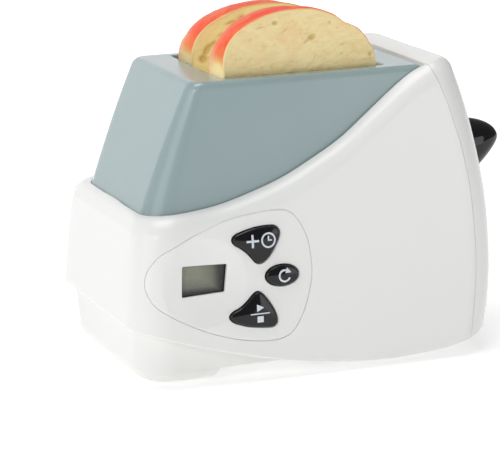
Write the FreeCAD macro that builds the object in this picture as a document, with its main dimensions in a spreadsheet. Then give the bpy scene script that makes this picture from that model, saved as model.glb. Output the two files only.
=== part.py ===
import FreeCAD, Part
import Sketcher
import math
import os

# Toy toaster: white casing with a thick swept rim, separate end cap with the
# lever slot, recessed base tray, tapered grey inner housing with one wide
# bread slot, egg-shaped control panel with a display and three buttons, a
# sprung bread carriage with a black lever knob, and two slices of toast.
# Frame: +X towards the lever end, -Y is the side with the control panel,
# +Z up, Z = 0 is the surface the toaster stands on, millimetres.

V = FreeCAD.Vector
doc = FreeCAD.newDocument("toy_toaster")
sheet = doc.addObject("Spreadsheet::Sheet", "dims")

# --------------------------------------------------------------- dimensions
CELLS = [
    # sections of the outer casing: height, left face, right face, half depth
    ("sec_a_high", 0.0), ("sec_a_left", -87.7), ("sec_a_right", 58.5),
    ("sec_b_high", 24.0), ("sec_b_left", -86.9), ("sec_b_right", 63.3),
    ("sec_c_high", 45.0), ("sec_c_left", -85.4), ("sec_c_right", 64.1),
    ("sec_d_high", 60.0), ("sec_d_left", -83.8), ("sec_d_right", 63.3),
    ("sec_e_high", 80.0), ("sec_e_left", -80.8), ("sec_e_right", 60.1),
    ("sec_f_high", 100.0), ("sec_f_left", -77.5), ("sec_f_right", 55.1),
    ("sec_g_high", 118.0), ("sec_g_left", -74.5), ("sec_g_right", 48.8),
    ("half_depth_floor", 53.9), ("side_draft", 0.1), ("corner_radius", 14.0),
    ("wall", 2.5), ("rim_round", 6.0), ("rim_wall", 2.6),
    ("seam_gap", 0.3), ("body_span", 160.0),
    # grey inner housing
    ("grey_wall", 2.2), ("grey_gap", 0.35), ("grey_top", 113.3),
    ("grey_foot", 56.0), ("grey_right", 37.6), ("grey_edge", 2.4),
    ("slot_left", -43.4), ("slot_right", 23.6), ("slot_half", 28.6),
    ("slot_corner", 3.0), ("well_wall", 2.2), ("well_low", 60.0),
    # base tray
    ("tray_left", -84.0), ("tray_right", 54.0), ("tray_half", 46.4), ("tray_wall", 2.4),
    ("tray_draft", 0.04), ("tray_level", 25.0), ("tray_corner", 11.5),
    ("tray_lip", 30.0), ("tray_floor", 5.0), ("tray_foot", 0.4),
    ("tray_round", 5.5), ("ledge_up", 1.5), ("ledge_thick", 2.2),
    ("foot_break", -55.0), ("foot_step", -52.6),
    ("foot_right_from", 14.0), ("foot_right_to", 40.0), ("foot_right_half", 35.0),
    # battery bay, two AA cells side by side
    ("bay_left", -43.0), ("bay_right", 13.0), ("bay_half", 17.5),
    ("bay_top", 23.6), ("bay_wall", 2.4), ("door_thick", 2.0),
    ("door_gap", 0.3), ("cell_dia", 14.2), ("cell_long", 49.2),
    ("cell_nub_dia", 5.5), ("cell_nub", 1.3), ("cell_side", 8.3),
    ("cell_axis", 15.6),
    # control panel
    ("panel_thick", 3.0), ("panel_gap", 0.25), ("dish_radius", 110.0),
    ("dish_deep", 1.35), ("lcd_u", -59.8), ("lcd_w", 41.2),
    ("lcd_wide", 17.4), ("lcd_tall", 11.2), ("lens_thick", 0.95),
    ("button_gap", 0.35), ("button_proud", 1.6), ("button_travel", 1.2),
    ("flange_out", 1.0), ("flange_thick", 1.3), ("button_edge", 0.8),
    ("board_thick", 1.6), ("mat_thick", 0.8), ("board_deep", 6.6),
    # carriage
    ("lift_travel", 34.0), ("deck_top", 79.0), ("deck_thick", 2.5),
    ("rod_dia", 4.0), ("rod_bore", 4.2), ("rod_along", 40.6), ("rod_apart", 14.0),
    ("stem_half", 3.0), ("stem_low", 74.0), ("stem_high", 82.0),
    ("knob_half", 8.5), ("knob_from", 66.0), ("knob_tip", 87.0),
    # latch
    ("latch_x", 48.1), ("latch_z", 22.4), ("latch_swing", 14.0),
    ("plunger_arm", 9.0), ("latch_half", 1.5),
    # fasteners
    ("screw_shank", 3.0), ("screw_head", 6.0), ("small_shank", 2.0),
    ("small_head", 4.0),
    # toast
    ("slice_thick", 14.5), ("front_slice_near", -28.0), ("rear_slice_near", 5.2),
    ("front_slice_mid", -11.0), ("rear_slice_mid", -12.3), ("slice_round", 2.0),
]
D = {}
for i, (alias, value) in enumerate(CELLS):
    row = i + 1
    sheet.set("A%d" % row, alias)
    sheet.set("B%d" % row, repr(value))
    sheet.setAlias("B%d" % row, alias)
    D[alias] = value
doc.recompute()


class Q:
    """A size: its number now, and the expression over the sheet that gives it."""

    def __init__(self, num, text=None):
        self.num = float(num)
        self.text = text if text is not None else "(%r)" % float(num)

    def _mix(self, other, sign):
        other = other if isinstance(other, Q) else Q(other)
        if sign == "+":
            n = self.num + other.num
        elif sign == "-":
            n = self.num - other.num
        elif sign == "*":
            n = self.num * other.num
        else:
            n = self.num / other.num
        return Q(n, "(%s %s %s)" % (self.text, sign, other.text))

    def __add__(self, o): return self._mix(o, "+")
    def __sub__(self, o): return self._mix(o, "-")
    def __mul__(self, o): return self._mix(o, "*")
    def __truediv__(self, o): return self._mix(o, "/")
    def __radd__(self, o): return Q(o)._mix(self, "+")
    def __rsub__(self, o): return Q(o)._mix(self, "-")
    def __rmul__(self, o): return Q(o)._mix(self, "*")
    def __neg__(self): return Q(0)._mix(self, "-")


def q(alias):
    return Q(D[alias], "dims." + alias)


def num(x):
    return x.num if isinstance(x, Q) else float(x)


def bind(obj, prop, x):
    if isinstance(x, Q):
        obj.setExpression(prop, x.text)


# ------------------------------------------------------------ Part helpers
COUNT = {}


def nm(base):
    COUNT[base] = COUNT.get(base, 0) + 1
    return "%s_%d" % (base, COUNT[base])


def place(obj, x=0, y=0, z=0, axis=None, angle=0):
    rot = FreeCAD.Rotation(axis, angle) if axis is not None else FreeCAD.Rotation()
    obj.Placement = FreeCAD.Placement(V(num(x), num(y), num(z)), rot)
    for prop, val in (("Placement.Base.x", x), ("Placement.Base.y", y), ("Placement.Base.z", z)):
        bind(obj, prop, val)


def box(x0, x1, y0, y1, z0, z1):
    o = doc.addObject("Part::Box", nm("box"))
    for prop, a, b in (("Length", x0, x1), ("Width", y0, y1), ("Height", z0, z1)):
        d = (b if isinstance(b, Q) else Q(b)) - a
        setattr(o, prop, d.num)
        if isinstance(a, Q) or isinstance(b, Q):
            bind(o, prop, d)
    place(o, x0, y0, z0)
    return o


AXES = {"z": (None, 0), "x": (V(0, 1, 0), 90), "y": (V(1, 0, 0), -90)}


def cyl(x, y, z, dia, length, axis="z"):
    """cylinder from the point (x, y, z) along +axis"""
    o = doc.addObject("Part::Cylinder", nm("cyl"))
    r = (dia if isinstance(dia, Q) else Q(dia)) / 2
    o.Radius = r.num
    if isinstance(dia, Q):
        bind(o, "Radius", r)
    o.Height = num(length)
    bind(o, "Height", length)
    ax, ang = AXES[axis]
    place(o, x, y, z, ax, ang)
    return o


def cone(x, y, z, d1, d2, length, axis="z"):
    o = doc.addObject("Part::Cone", nm("cone"))
    o.Radius1 = num(d1) / 2
    o.Radius2 = num(d2) / 2
    o.Height = num(length)
    ax, ang = AXES[axis]
    place(o, x, y, z, ax, ang)
    return o


def fuse(items, label=None):
    o = doc.addObject("Part::MultiFuse", nm("fuse"))
    o.Shapes = items
    if label:
        o.Label = label
    return o


def cut(base, tool, label=None):
    if isinstance(tool, (list, tuple)):
        tool = tool[0] if len(tool) == 1 else fuse(list(tool))
    o = doc.addObject("Part::Cut", nm("cut"))
    o.Base = base
    o.Tool = tool
    if label:
        o.Label = label
    return o


def common(a, b, label=None):
    o = doc.addObject("Part::Common", nm("common"))
    o.Base = a
    o.Tool = b
    if label:
        o.Label = label
    return o


def group(items, label):
    """several separate solids of one kind in one node"""
    o = doc.addObject("Part::Compound", nm("group"))
    o.Links = items
    o.Label = label
    return o


# ---------------------------------------------------------- sketch helpers
def rounded(sk, w, d, r):
    """rounded rectangle about the sketch's origin, w along x and d along y"""
    W, H, R = num(w) / 2, num(d) / 2, num(r)
    g = [
        Part.LineSegment(V(-W + R, -H, 0), V(W - R, -H, 0)),
        Part.ArcOfCircle(Part.Circle(V(W - R, -H + R, 0), V(0, 0, 1), R), -math.pi / 2, 0),
        Part.LineSegment(V(W, -H + R, 0), V(W, H - R, 0)),
        Part.ArcOfCircle(Part.Circle(V(W - R, H - R, 0), V(0, 0, 1), R), 0, math.pi / 2),
        Part.LineSegment(V(W - R, H, 0), V(-W + R, H, 0)),
        Part.ArcOfCircle(Part.Circle(V(-W + R, H - R, 0), V(0, 0, 1), R), math.pi / 2, math.pi),
        Part.LineSegment(V(-W, H - R, 0), V(-W, -H + R, 0)),
        Part.ArcOfCircle(Part.Circle(V(-W + R, -H + R, 0), V(0, 0, 1), R), math.pi, 1.5 * math.pi),
    ]
    sk.addGeometry(g, False)
    C = Sketcher.Constraint
    cons = []
    for i in range(8):
        cons.append(C("Tangent", i, 2, (i + 1) % 8, 1))
    cons += [C("Horizontal", 0), C("Vertical", 2), C("Horizontal", 4), C("Vertical", 6),
             C("Equal", 1, 3), C("Equal", 3, 5), C("Equal", 5, 7),
             C("Symmetric", 0, 1, 4, 1, -1, 1)]
    sk.addConstraint(cons)
    i = sk.addConstraint(C("DistanceX", 6, 1, 2, 1, 2 * W))
    sk.renameConstraint(i, "wide")
    bind(sk, "Constraints.wide", w)
    i = sk.addConstraint(C("DistanceY", 0, 1, 4, 2, 2 * H))
    sk.renameConstraint(i, "deep")
    bind(sk, "Constraints.deep", d)
    i = sk.addConstraint(C("Radius", 1, R))
    sk.renameConstraint(i, "corner")
    bind(sk, "Constraints.corner", r)


def rectangle(sk, w, d):
    W, H = num(w) / 2, num(d) / 2
    p = [V(-W, -H, 0), V(W, -H, 0), V(W, H, 0), V(-W, H, 0)]
    sk.addGeometry([Part.LineSegment(p[i], p[(i + 1) % 4]) for i in range(4)], False)
    C = Sketcher.Constraint
    sk.addConstraint([C("Coincident", i, 2, (i + 1) % 4, 1) for i in range(4)] +
                     [C("Horizontal", 0), C("Vertical", 1), C("Horizontal", 2), C("Vertical", 3),
                      C("Symmetric", 0, 1, 1, 2, -1, 1)])
    i = sk.addConstraint(C("DistanceX", 0, 1, 0, 2, 2 * W))
    sk.renameConstraint(i, "wide")
    bind(sk, "Constraints.wide", w)
    i = sk.addConstraint(C("DistanceY", 1, 1, 1, 2, 2 * H))
    sk.renameConstraint(i, "deep")
    bind(sk, "Constraints.deep", d)


def ring(sk, dia):
    sk.addGeometry(Part.Circle(V(0, 0, 0), V(0, 0, 1), num(dia) / 2), False)
    C = Sketcher.Constraint
    sk.addConstraint(C("Coincident", 0, 3, -1, 1))
    i = sk.addConstraint(C("Diameter", 0, num(dia)))
    sk.renameConstraint(i, "dia")
    bind(sk, "Constraints.dia", dia)


def polygon(sk, pts):
    n = len(pts)
    p = [V(a, b, 0) for a, b in pts]
    sk.addGeometry([Part.LineSegment(p[i], p[(i + 1) % n]) for i in range(n)], False)
    C = Sketcher.Constraint
    sk.addConstraint([C("Coincident", i, 2, (i + 1) % n, 1) for i in range(n)])
    sk.addConstraint([C("Block", i) for i in range(n)])


def closed_spline(sk, pts):
    c = Part.BSplineCurve()
    c.interpolate([V(a, b, 0) for a, b in pts], PeriodicFlag=True)
    sk.addGeometry(c, False)


def curve_and_lines(sk, curves):
    """curves: list of point lists; a list of 2 points is a line, a longer one a smooth curve"""
    gs = []
    for pts in curves:
        p = [V(a, b, 0) for a, b in pts]
        if len(p) == 2:
            gs.append(Part.LineSegment(p[0], p[1]))
        else:
            c = Part.BSplineCurve()
            c.interpolate(p)
            gs.append(c)
    sk.addGeometry(gs, False)
    C = Sketcher.Constraint
    n = len(gs)
    sk.addConstraint([C("Coincident", i, 2, (i + 1) % n, 1) for i in range(n)])


def free_sketch(kind, *args, **kw):
    """sketch of the document, parallel to the ground at height z, or upright (plane xz)"""
    sk = doc.addObject("Sketcher::SketchObject", nm("sketch"))
    kind(sk, *args)
    if kw.get("plane") == "xz":
        place(sk, kw.get("x", 0), kw.get("y", 0), kw.get("z", 0), V(1, 0, 0), 90)
    elif kw.get("plane") == "face":
        face_place(sk)
    else:
        place(sk, kw.get("x", 0), kw.get("y", 0), kw.get("z", 0))
    return sk


def loft(sections):
    o = doc.addObject("Part::Loft", nm("loft"))
    o.Sections = sections
    o.Solid = True
    o.Ruled = False
    return o


def extrude(sk, direction, length, both=False):
    o = doc.addObject("Part::Extrusion", nm("extrusion"))
    o.Base = sk
    o.DirMode = "Custom"
    o.Dir = direction
    o.LengthFwd = num(length)
    bind(o, "LengthFwd", length)
    o.Solid = True
    o.Symmetric = both
    return o


# The near side of the casing is a flat face that leans in by side_draft. The
# panel and all behind it are laid out on that face: u along +X, w up the
# face from the ground, n outwards from the face.
LEAN = math.degrees(math.atan(D["side_draft"]))
FACE = FreeCAD.Placement(V(0, -D["half_depth_floor"], 0),
                         FreeCAD.Rotation(V(1, 0, 0), 90 - LEAN))
NORMAL = FACE.Rotation.multVec(V(0, 0, 1))


def face_place(obj, n=0.0):
    obj.Placement = FreeCAD.Placement(FACE.Base + NORMAL * n, FACE.Rotation)
    nx = Q(n) if not isinstance(n, Q) else n
    obj.setExpression("Placement.Base.y", "(0 - dims.half_depth_floor) + %s * %r" % (nx.text, NORMAL.y))
    obj.setExpression("Placement.Base.z", "%s * %r" % (nx.text, NORMAL.z))


# ------------------------------------------------------- PartDesign helpers
class Body:
    def __init__(self, label):
        self.b = doc.addObject("PartDesign::Body", label)
        self.b.Label = label

    def plane(self, role):
        for f in self.b.Origin.OriginFeatures:
            if f.Role == role:
                return f

    def sketch(self, kind, *args, **kw):
        sk = self.b.newObject("Sketcher::SketchObject", nm("profile"))
        sk.AttachmentSupport = (self.plane(kw.get("role", "XY_Plane")), "")
        sk.MapMode = "FlatFace"
        off = [kw.get("x", 0), kw.get("y", 0), kw.get("z", 0)]
        rot = FreeCAD.Rotation(V(0, 0, 1), kw.get("turn", 0))
        sk.AttachmentOffset = FreeCAD.Placement(V(*[num(o) for o in off]), rot)
        for prop, val in zip(("x", "y", "z"), off):
            bind(sk, "AttachmentOffset.Base." + prop, val)
        kind(sk, *args)
        return sk

    def pad(self, sk, length, back=False, mid=False):
        f = self.b.newObject("PartDesign::Pad", nm("pad"))
        f.Profile = sk
        f.Length = num(length)
        bind(f, "Length", length)
        f.Reversed = back
        f.Midplane = mid
        return f

    def pocket(self, sk, length, back=False, mid=False):
        f = self.b.newObject("PartDesign::Pocket", nm("pocket"))
        f.Profile = sk
        f.Length = num(length)
        bind(f, "Length", length)
        f.Reversed = back
        f.Midplane = mid
        return f

    def revolve(self, sk, axis="V_Axis"):
        f = self.b.newObject("PartDesign::Revolution", nm("revolution"))
        f.Profile = sk
        f.ReferenceAxis = (sk, [axis])
        f.Angle = 360
        return f

    def edges(self, feat, test):
        doc.recompute()
        names = []
        for i, e in enumerate(feat.Shape.Edges):
            if test(e):
                names.append("Edge%d" % (i + 1))
        return names

    def fillet(self, feat, test, r):
        names = self.edges(feat, test)
        if not names:
            raise RuntimeError("no edges for the fillet of " + self.b.Label)
        f = self.b.newObject("PartDesign::Fillet", nm("fillet"))
        f.Base = (feat, names)
        f.Radius = num(r)
        bind(f, "Radius", r)
        return f

    def chamfer(self, feat, test, r):
        names = self.edges(feat, test)
        f = self.b.newObject("PartDesign::Chamfer", nm("chamfer"))
        f.Base = (feat, names)
        f.Size = num(r)
        bind(f, "Size", r)
        return f


PARTS = {}


def node(name, obj):
    obj.Label = name
    PARTS[name] = obj


# ===================================================== outer casing and cap
SECS = "abcdefg"


def casing_loft(inset, letters=SECS):
    """the casing's outer form, drawn in by inset on all four sides"""
    out = []
    for s in letters:
        l, r, h = q("sec_%s_left" % s), q("sec_%s_right" % s), q("sec_%s_high" % s)
        half = q("half_depth_floor") - q("side_draft") * h
        out.append(free_sketch(rounded, r - l - inset * 2, half * 2 - inset * 2,
                               q("corner_radius") - inset, x=(l + r) / 2, z=h))
    return loft(out)


# swept top edge of the casing: low at the left end, up to the top at the lever end
TOP = [(-95, 62.9), (-87, 63.6), (-78, 64.3), (-70, 65.0), (-60, 65.8), (-53, 66.7), (-45, 68.4),
       (-36.7, 70.8), (-23.4, 75.5), (-9.9, 82.2), (1.2, 88.6), (9.8, 95.0), (17.0, 100.5), (22.5, 104.7),
       (27.1, 108.0), (31.4, 110.7), (36.5, 113.0), (42, 114.7), (48, 115.6), (60, 115.9)]
# lower edge of the casing: a shallow upward curve, lowest right of the middle
LOW = [(-95, 22.8), (-86, 22.0), (-79, 20.8), (-72, 18.6), (-64, 16.0), (-54, 13.2), (-44, 10.4),
       (-34, 8.0), (-20, 5.4), (-6, 3.6), (6, 2.6), (16, 2.3), (26, 2.7), (38, 3.7), (48, 5.6),
       (56, 7.9), (62, 10.0), (72, 14.0)]


def shift(pts, dz):
    return [(x, z + dz) for x, z in pts]


outer_block = casing_loft(Q(0))
side_profile = free_sketch(curve_and_lines, [LOW, [LOW[-1], (72, 116.0)], [(72, 116.0), TOP[-1]],
                                            TOP[::-1], [TOP[0], LOW[0]]], plane="xz")
side_slab = extrude(side_profile, V(0, 1, 0), q("body_span"), both=True)
outer_form = common(outer_block, side_slab, "casing_form")

inner_block = casing_loft(q("wall"))
cav_top = shift(TOP, -D["rim_wall"])
cavity_profile = free_sketch(curve_and_lines, [[(-95, -5), (72, -5)], [(72, -5), (72, 116 - D["rim_wall"])],
                                              [(72, 116 - D["rim_wall"]), cav_top[-1]], cav_top[::-1],
                                              [cav_top[0], (-95, -5)]], plane="xz")
cavity_slab = extrude(cavity_profile, V(0, 1, 0), q("body_span"), both=True)
cavity = common(inner_block, cavity_slab, "casing_cavity")
doc.recompute()


def on_top_edge(e):
    """edges of the outer form that lie on the swept top surface"""
    pts = [e.valueAt(e.FirstParameter + (e.LastParameter - e.FirstParameter) * k / 8.0) for k in range(9)]
    for p in pts:
        near = min(abs(p.z - z_top(p.x)), 99)
        if near > 0.25:
            return False
    return True


_top_curve = Part.BSplineCurve()
_top_curve.interpolate([V(a, b, 0) for a, b in TOP])


def z_top(x):
    lo, hi = _top_curve.FirstParameter, _top_curve.LastParameter
    for _ in range(50):
        m = (lo + hi) / 2
        if _top_curve.value(m).x < x:
            lo = m
        else:
            hi = m
    return _top_curve.value((lo + hi) / 2).y


rounded_form = doc.addObject("Part::Fillet", "rounded_form")
rounded_form.Base = outer_form
top_edges = [i + 1 for i, e in enumerate(outer_form.Shape.Edges) if on_top_edge(e)]
print("top edges", top_edges, "of", len(outer_form.Shape.Edges))
rounded_form.Edges = [(i, D["rim_round"], D["rim_round"]) for i in top_edges]
doc.recompute()

# the cavity follows the outer form, with its own rounding under the rim
rounded_cavity = doc.addObject("Part::Fillet", "rounded_cavity")
rounded_cavity.Base = cavity


def under_top(e):
    pts = [e.valueAt(e.FirstParameter + (e.LastParameter - e.FirstParameter) * k / 8.0) for k in range(9)]
    return all(abs(p.z - (z_top(p.x) - D["rim_wall"])) < 0.25 for p in pts)


rounded_cavity.Edges = [(i + 1, D["rim_round"] - 2.5, D["rim_round"] - 2.5)
                        for i, e in enumerate(cavity.Shape.Edges) if under_top(e)]
doc.recompute()

# the tapered grey housing: left faces by height
GREY = [(56.0, -80.6, 39.95), (75.8, -73.6, 38.3), (96.5, -65.6, 36.6), (113.3, -58.3, 35.2)]


def grey_loft(inset, low=None, high=None, corner=4.6):
    """tapered block; its upright corners are rounder below than at the top"""
    rows = []
    zs = [r[0] for r in GREY]
    if low is not None:
        z0, l0, h0 = GREY[0]
        z1, l1, h1 = GREY[1]
        k = (low - z0) / (z1 - z0)
        rows.append((low, l0 + (l1 - l0) * k, h0 + (h1 - h0) * k))
    rows += GREY if low is None else GREY[1:]
    if high is not None:
        z0, l0, h0 = GREY[-2]
        z1, l1, h1 = GREY[-1]
        k = (high - z0) / (z1 - z0)
        rows[-1] = (high, l0 + (l1 - l0) * k, h0 + (h1 - h0) * k)
    out = []
    for z, l, h in rows:
        left = Q(l) + inset
        right = q("grey_right") - inset
        out.append(free_sketch(rounded, right - left, Q(2 * h) - inset * 2,
                               Q(round(corner + (8.0 - corner) * (113.0 - z) / 53.0, 3)) - inset,
                               x=(left + right) / 2, z=z))
    return loft(out)


rim_opening = grey_loft(-q("grey_gap"), low=44.0, high=122.0)

# egg-shaped panel outline on the near face, u along X and w up the face
EGG = [(-81.9, 42.2), (-80.0, 47.9), (-78.3, 50.0), (-76.5, 51.9), (-72.8, 53.9), (-68.8, 55.8), (-64.7, 57.6),
       (-60.6, 59.3), (-56.6, 60.6), (-52.5, 62.0), (-48.4, 63.2), (-44.3, 63.9), (-40.3, 64.5), (-36.2, 64.9),
       (-32.1, 65.2), (-28.2, 65.1), (-25.4, 64.5), (-23.2, 63.2), (-21.3, 61.2), (-19.8, 58.8), (-18.3, 55.6),
       (-17.2, 52.2), (-16.6, 48.5), (-16.2, 44.4), (-16.2, 40.0), (-16.8, 35.8), (-17.9, 31.7), (-19.3, 27.5),
       (-21.0, 23.8), (-22.8, 20.8), (-25.0, 18.3), (-27.7, 16.6), (-30.8, 15.8), (-34.7, 15.7), (-38.8, 16.0),
       (-42.9, 16.6), (-46.9, 17.4), (-50.9, 18.5), (-54.8, 19.8), (-58.8, 21.3), (-62.7, 23.0), (-66.6, 24.9),
       (-70.4, 27.0), (-74.2, 29.4), (-77.7, 31.8), (-79.9, 34.3), (-81.2, 37.0), (-81.9, 39.6)]
BUTTON_ADD = [(-48.0, 55.4), (-47.1, 56.8), (-45.1, 57.7), (-41.0, 58.8), (-36.9, 59.4), (-32.8, 59.5),
              (-30.8, 59.2), (-29.4, 58.2), (-28.8, 56.5), (-29.3, 54.4), (-30.8, 51.6), (-33.2, 48.2),
              (-35.4, 46.2), (-36.9, 45.6), (-38.4, 45.8), (-39.8, 47.1), (-41.5, 49.2), (-43.4, 51.0),
              (-45.4, 52.5), (-47.2, 53.7)]
BUTTON_START = [(-50.4, 26.2), (-49.4, 27.6), (-46.9, 28.8), (-44.6, 30.2), (-42.4, 32.1), (-40.4, 34.0),
                (-39.0, 34.7), (-37.6, 34.3), (-36.2, 32.9), (-34.4, 30.5), (-32.6, 27.4), (-31.5, 24.4),
                (-31.5, 22.3), (-32.7, 21.1), (-35.2, 20.9), (-38.9, 21.3), (-43.0, 22.0), (-47.0, 23.3),
                (-49.6, 24.7)]
BUTTON_RESET = [(-28.5 + 6.7 * math.cos(math.radians(a)), 40.1 + 4.0 * math.sin(math.radians(a)))
                for a in range(0, 360, 20)]
WINDOW = [(-68.0, 47.2), (-50.0, 46.5), (-51.5, 36.0), (-68.7, 35.4)]


def offset_outline(pts, d):
    """closed outline grown outwards by d"""
    n = len(pts)
    area = sum(pts[i][0] * pts[(i + 1) % n][1] - pts[(i + 1) % n][0] * pts[i][1] for i in range(n))
    sgn = 1.0 if area > 0 else -1.0
    out = []
    for i in range(n):
        ax, ay = pts[i - 1]
        bx, by = pts[(i + 1) % n]
        tx, ty = bx - ax, by - ay
        ln = math.hypot(tx, ty)
        out.append((pts[i][0] + sgn * d * ty / ln, pts[i][1] - sgn * d * tx / ln))
    return out


def grow_quad(pts, d):
    """four-sided outline moved outwards by d on every side"""
    n = len(pts)
    area = sum(pts[i][0] * pts[(i + 1) % n][1] - pts[(i + 1) % n][0] * pts[i][1] for i in range(n))
    sgn = 1.0 if area > 0 else -1.0
    lines = []
    for i in range(n):
        ax, ay = pts[i]
        bx, by = pts[(i + 1) % n]
        tx, ty = bx - ax, by - ay
        ln = math.hypot(tx, ty)
        nx, ny = sgn * ty / ln, -sgn * tx / ln
        lines.append((ax + nx * d, ay + ny * d, tx / ln, ty / ln))
    out = []
    for i in range(n):
        x1, y1, u1, v1 = lines[i - 1]
        x2, y2, u2, v2 = lines[i]
        den = u1 * v2 - v1 * u2
        k = ((x2 - x1) * v2 - (y2 - y1) * u2) / den
        out.append((x1 + u1 * k, y1 + v1 * k))
    return out


def face_prism(kind, pts, n0, n1):
    """solid between the depths n0 and n1 behind (-) or before (+) the near face"""
    sk = doc.addObject("Sketcher::SketchObject", nm("sketch"))
    kind(sk, pts)
    face_place(sk, n0)
    return extrude(sk, NORMAL, n1 - n0)


panel_opening = face_prism(closed_spline, offset_outline(EGG, D["panel_gap"]), -20.0, 12.0)

# end cap region: the seam runs down the near and far sides and over the end
SEAM = [(37.4, 118.5), (38.3, 113.6), (39.6, 109.4), (41.5, 104.7), (44.6, 96.6), (46.4, 90.7), (48.3, 84.7), (50.5, 74.8), (51.9, 66.9),
        (52.5, 60.9), (53.3, 49.1), (53.4, 35.3), (52.6, 25.4), (51.0, 13.6), (49.4, 0.0)]


def cap_slab(gap):
    pts = [(x + gap, z - (gap if i == 0 else 0)) for i, (x, z) in enumerate(SEAM)]
    top = pts[0][1]
    sk = free_sketch(curve_and_lines, [pts, [pts[-1], (80, 0.0)], [(80, 0.0), (80, top)], [(80, top), pts[0]]],
                     plane="xz")
    return extrude(sk, V(0, 1, 0), q("body_span"), both=True)


shell = cut(rounded_form, [rounded_cavity, rim_opening], "shell")
casing_cut = cut(shell, [cap_slab(0.0), panel_opening], "casing_cut")

# posts inside the casing for the screws of the base, each with a web to the wall
POST = 7.0
CASE_POSTS = [(-62.0, 36.0, 1), (40.0, 36.0, 1), (-8.0, -36.0, -1), (40.0, -36.0, -1)]
HOUSING_POSTS = [(-50.0, -24.0), (-50.0, 24.0), (33.0, -26.0), (33.0, 26.0)]
CAP_POSTS = [(45.8, -28.0), (45.8, 28.0)]
FLOOR_TOP = q("tray_floor") + q("tray_wall")


def post(x, y, z0, z1):
    return cut(cyl(x, y, z0, POST, z1 - z0), cyl(x, y, z0 - 1, 2.5, 14))


posts = []
for x, y, s in CASE_POSTS:
    web = box(x - 1.0, x + 1.0, y if s > 0 else -48.4, 48.4 if s > 0 else y, 27.0, 43.0)
    posts.append(cut(fuse([cyl(x, y, FLOOR_TOP + 0.1, POST, 43.0 - (FLOOR_TOP + 0.1)), web]),
                     cyl(x, y, 0, q("screw_shank") - 0.3, 16)))
casing = fuse([casing_cut] + posts)
node("outer_casing", casing)

# ------------------------------------------------------------------ end cap
cap_raw = common(shell, cap_slab(D["seam_gap"]))
cap_posts = []
for x, y in CAP_POSTS:
    web = box(x, 61.8, y - 1.0, y + 1.0, 18.0, 34.0)
    cap_posts.append(cut(fuse([cyl(x, y, FLOOR_TOP + 0.1, POST, 34.0 - (FLOOR_TOP + 0.1)), web]),
                         cyl(x, y, 0, q("screw_shank") - 0.3, 16)))
STEM_GAP = 0.4
lever_slot = box(50.0, 72.0, -(q("stem_half") + STEM_GAP), q("stem_half") + STEM_GAP,
                 q("stem_low") - q("lift_travel") - 0.9, q("stem_high") + 0.9)
cap = cut(fuse([cap_raw] + cap_posts), lever_slot)
node("end_cap", cap)

# ----------------------------------------------------------- inner housing
grey_outer = grey_loft(Q(0))
grey_round = doc.addObject("Part::Fillet", "grey_round")
grey_round.Base = grey_outer
doc.recompute()
grey_round.Edges = [(i + 1, D["grey_edge"], D["grey_edge"]) for i, e in enumerate(grey_outer.Shape.Edges)
                    if all(abs(v.Point.z - D["grey_top"]) < 0.01 for v in e.Vertexes)
                    and abs(e.valueAt((e.FirstParameter + e.LastParameter) / 2).z - D["grey_top"]) < 0.01]
grey_inner = grey_loft(q("grey_wall"), low=50.0, high=D["grey_top"] - D["grey_wall"])
well_block = box(q("slot_left") - q("well_wall"), q("slot_right") + q("well_wall"), -(q("slot_half") + q("well_wall")),
                 q("slot_half") + q("well_wall"), q("well_low"), 112.0)
hollow = cut(grey_inner, well_block)
skirt = cut(grey_round, hollow)
bridge = box(34.0, 45.0, -18.0, 18.0, 100.0, 104.0)
columns = []
for x, y in HOUSING_POSTS:
    high = 112.0 if x < 0 else 100.0
    columns.append(cyl(x, y, FLOOR_TOP + 0.1, POST, high - (FLOOR_TOP + 0.1)))
slot_sketch = free_sketch(rounded, q("slot_right") - q("slot_left"), q("slot_half") * 2, q("slot_corner"),
                          x=(q("slot_left") + q("slot_right")) / 2, z=40)
slot_prism = extrude(slot_sketch, V(0, 0, 1), 90)
arm_slit = [box(22.0, 40.0, -6.0, 6.0, 50.0, 85.0), box(34.6, 40.0, -18.8, 18.8, 50.0, 88.0)]
rod_holes = [cyl(q("rod_along"), q("rod_apart") * s, 95.0, 4.04, 12) for s in (-1, 1)]
column_holes = [cyl(x, y, 0, q("screw_shank") - 0.3, 16) for x, y in HOUSING_POSTS]
housing = cut(fuse([skirt, bridge] + columns), [slot_prism] + arm_slit + rod_holes + column_holes)
node("inner_housing", housing)

# ----------------------------------------------------------------- base tray
def tray_block(inset, z0, z1, round_bottom=None):
    """the tray's form, a little narrower and rounder at the corners towards the foot"""
    rows = []
    for z in (z0, z1):
        down = q("tray_level") - z
        inw = q("tray_draft") * down + inset
        left, right = q("tray_left") + inw, q("tray_right") - inw
        rows.append(free_sketch(rounded, right - left, (q("tray_half") - inw) * 2,
                                q("tray_corner") + down * 0.16 - inset, x=(left + right) / 2, z=z))
    o = loft(rows)
    if round_bottom is None:
        return o
    doc.recompute()
    f = doc.addObject("Part::Fillet", nm("fillet"))
    f.Base = o
    f.Edges = [(i + 1, round_bottom, round_bottom) for i, e in enumerate(o.Shape.Edges)
               if abs(e.BoundBox.ZMax - num(z0)) < 0.01]
    return f


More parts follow.
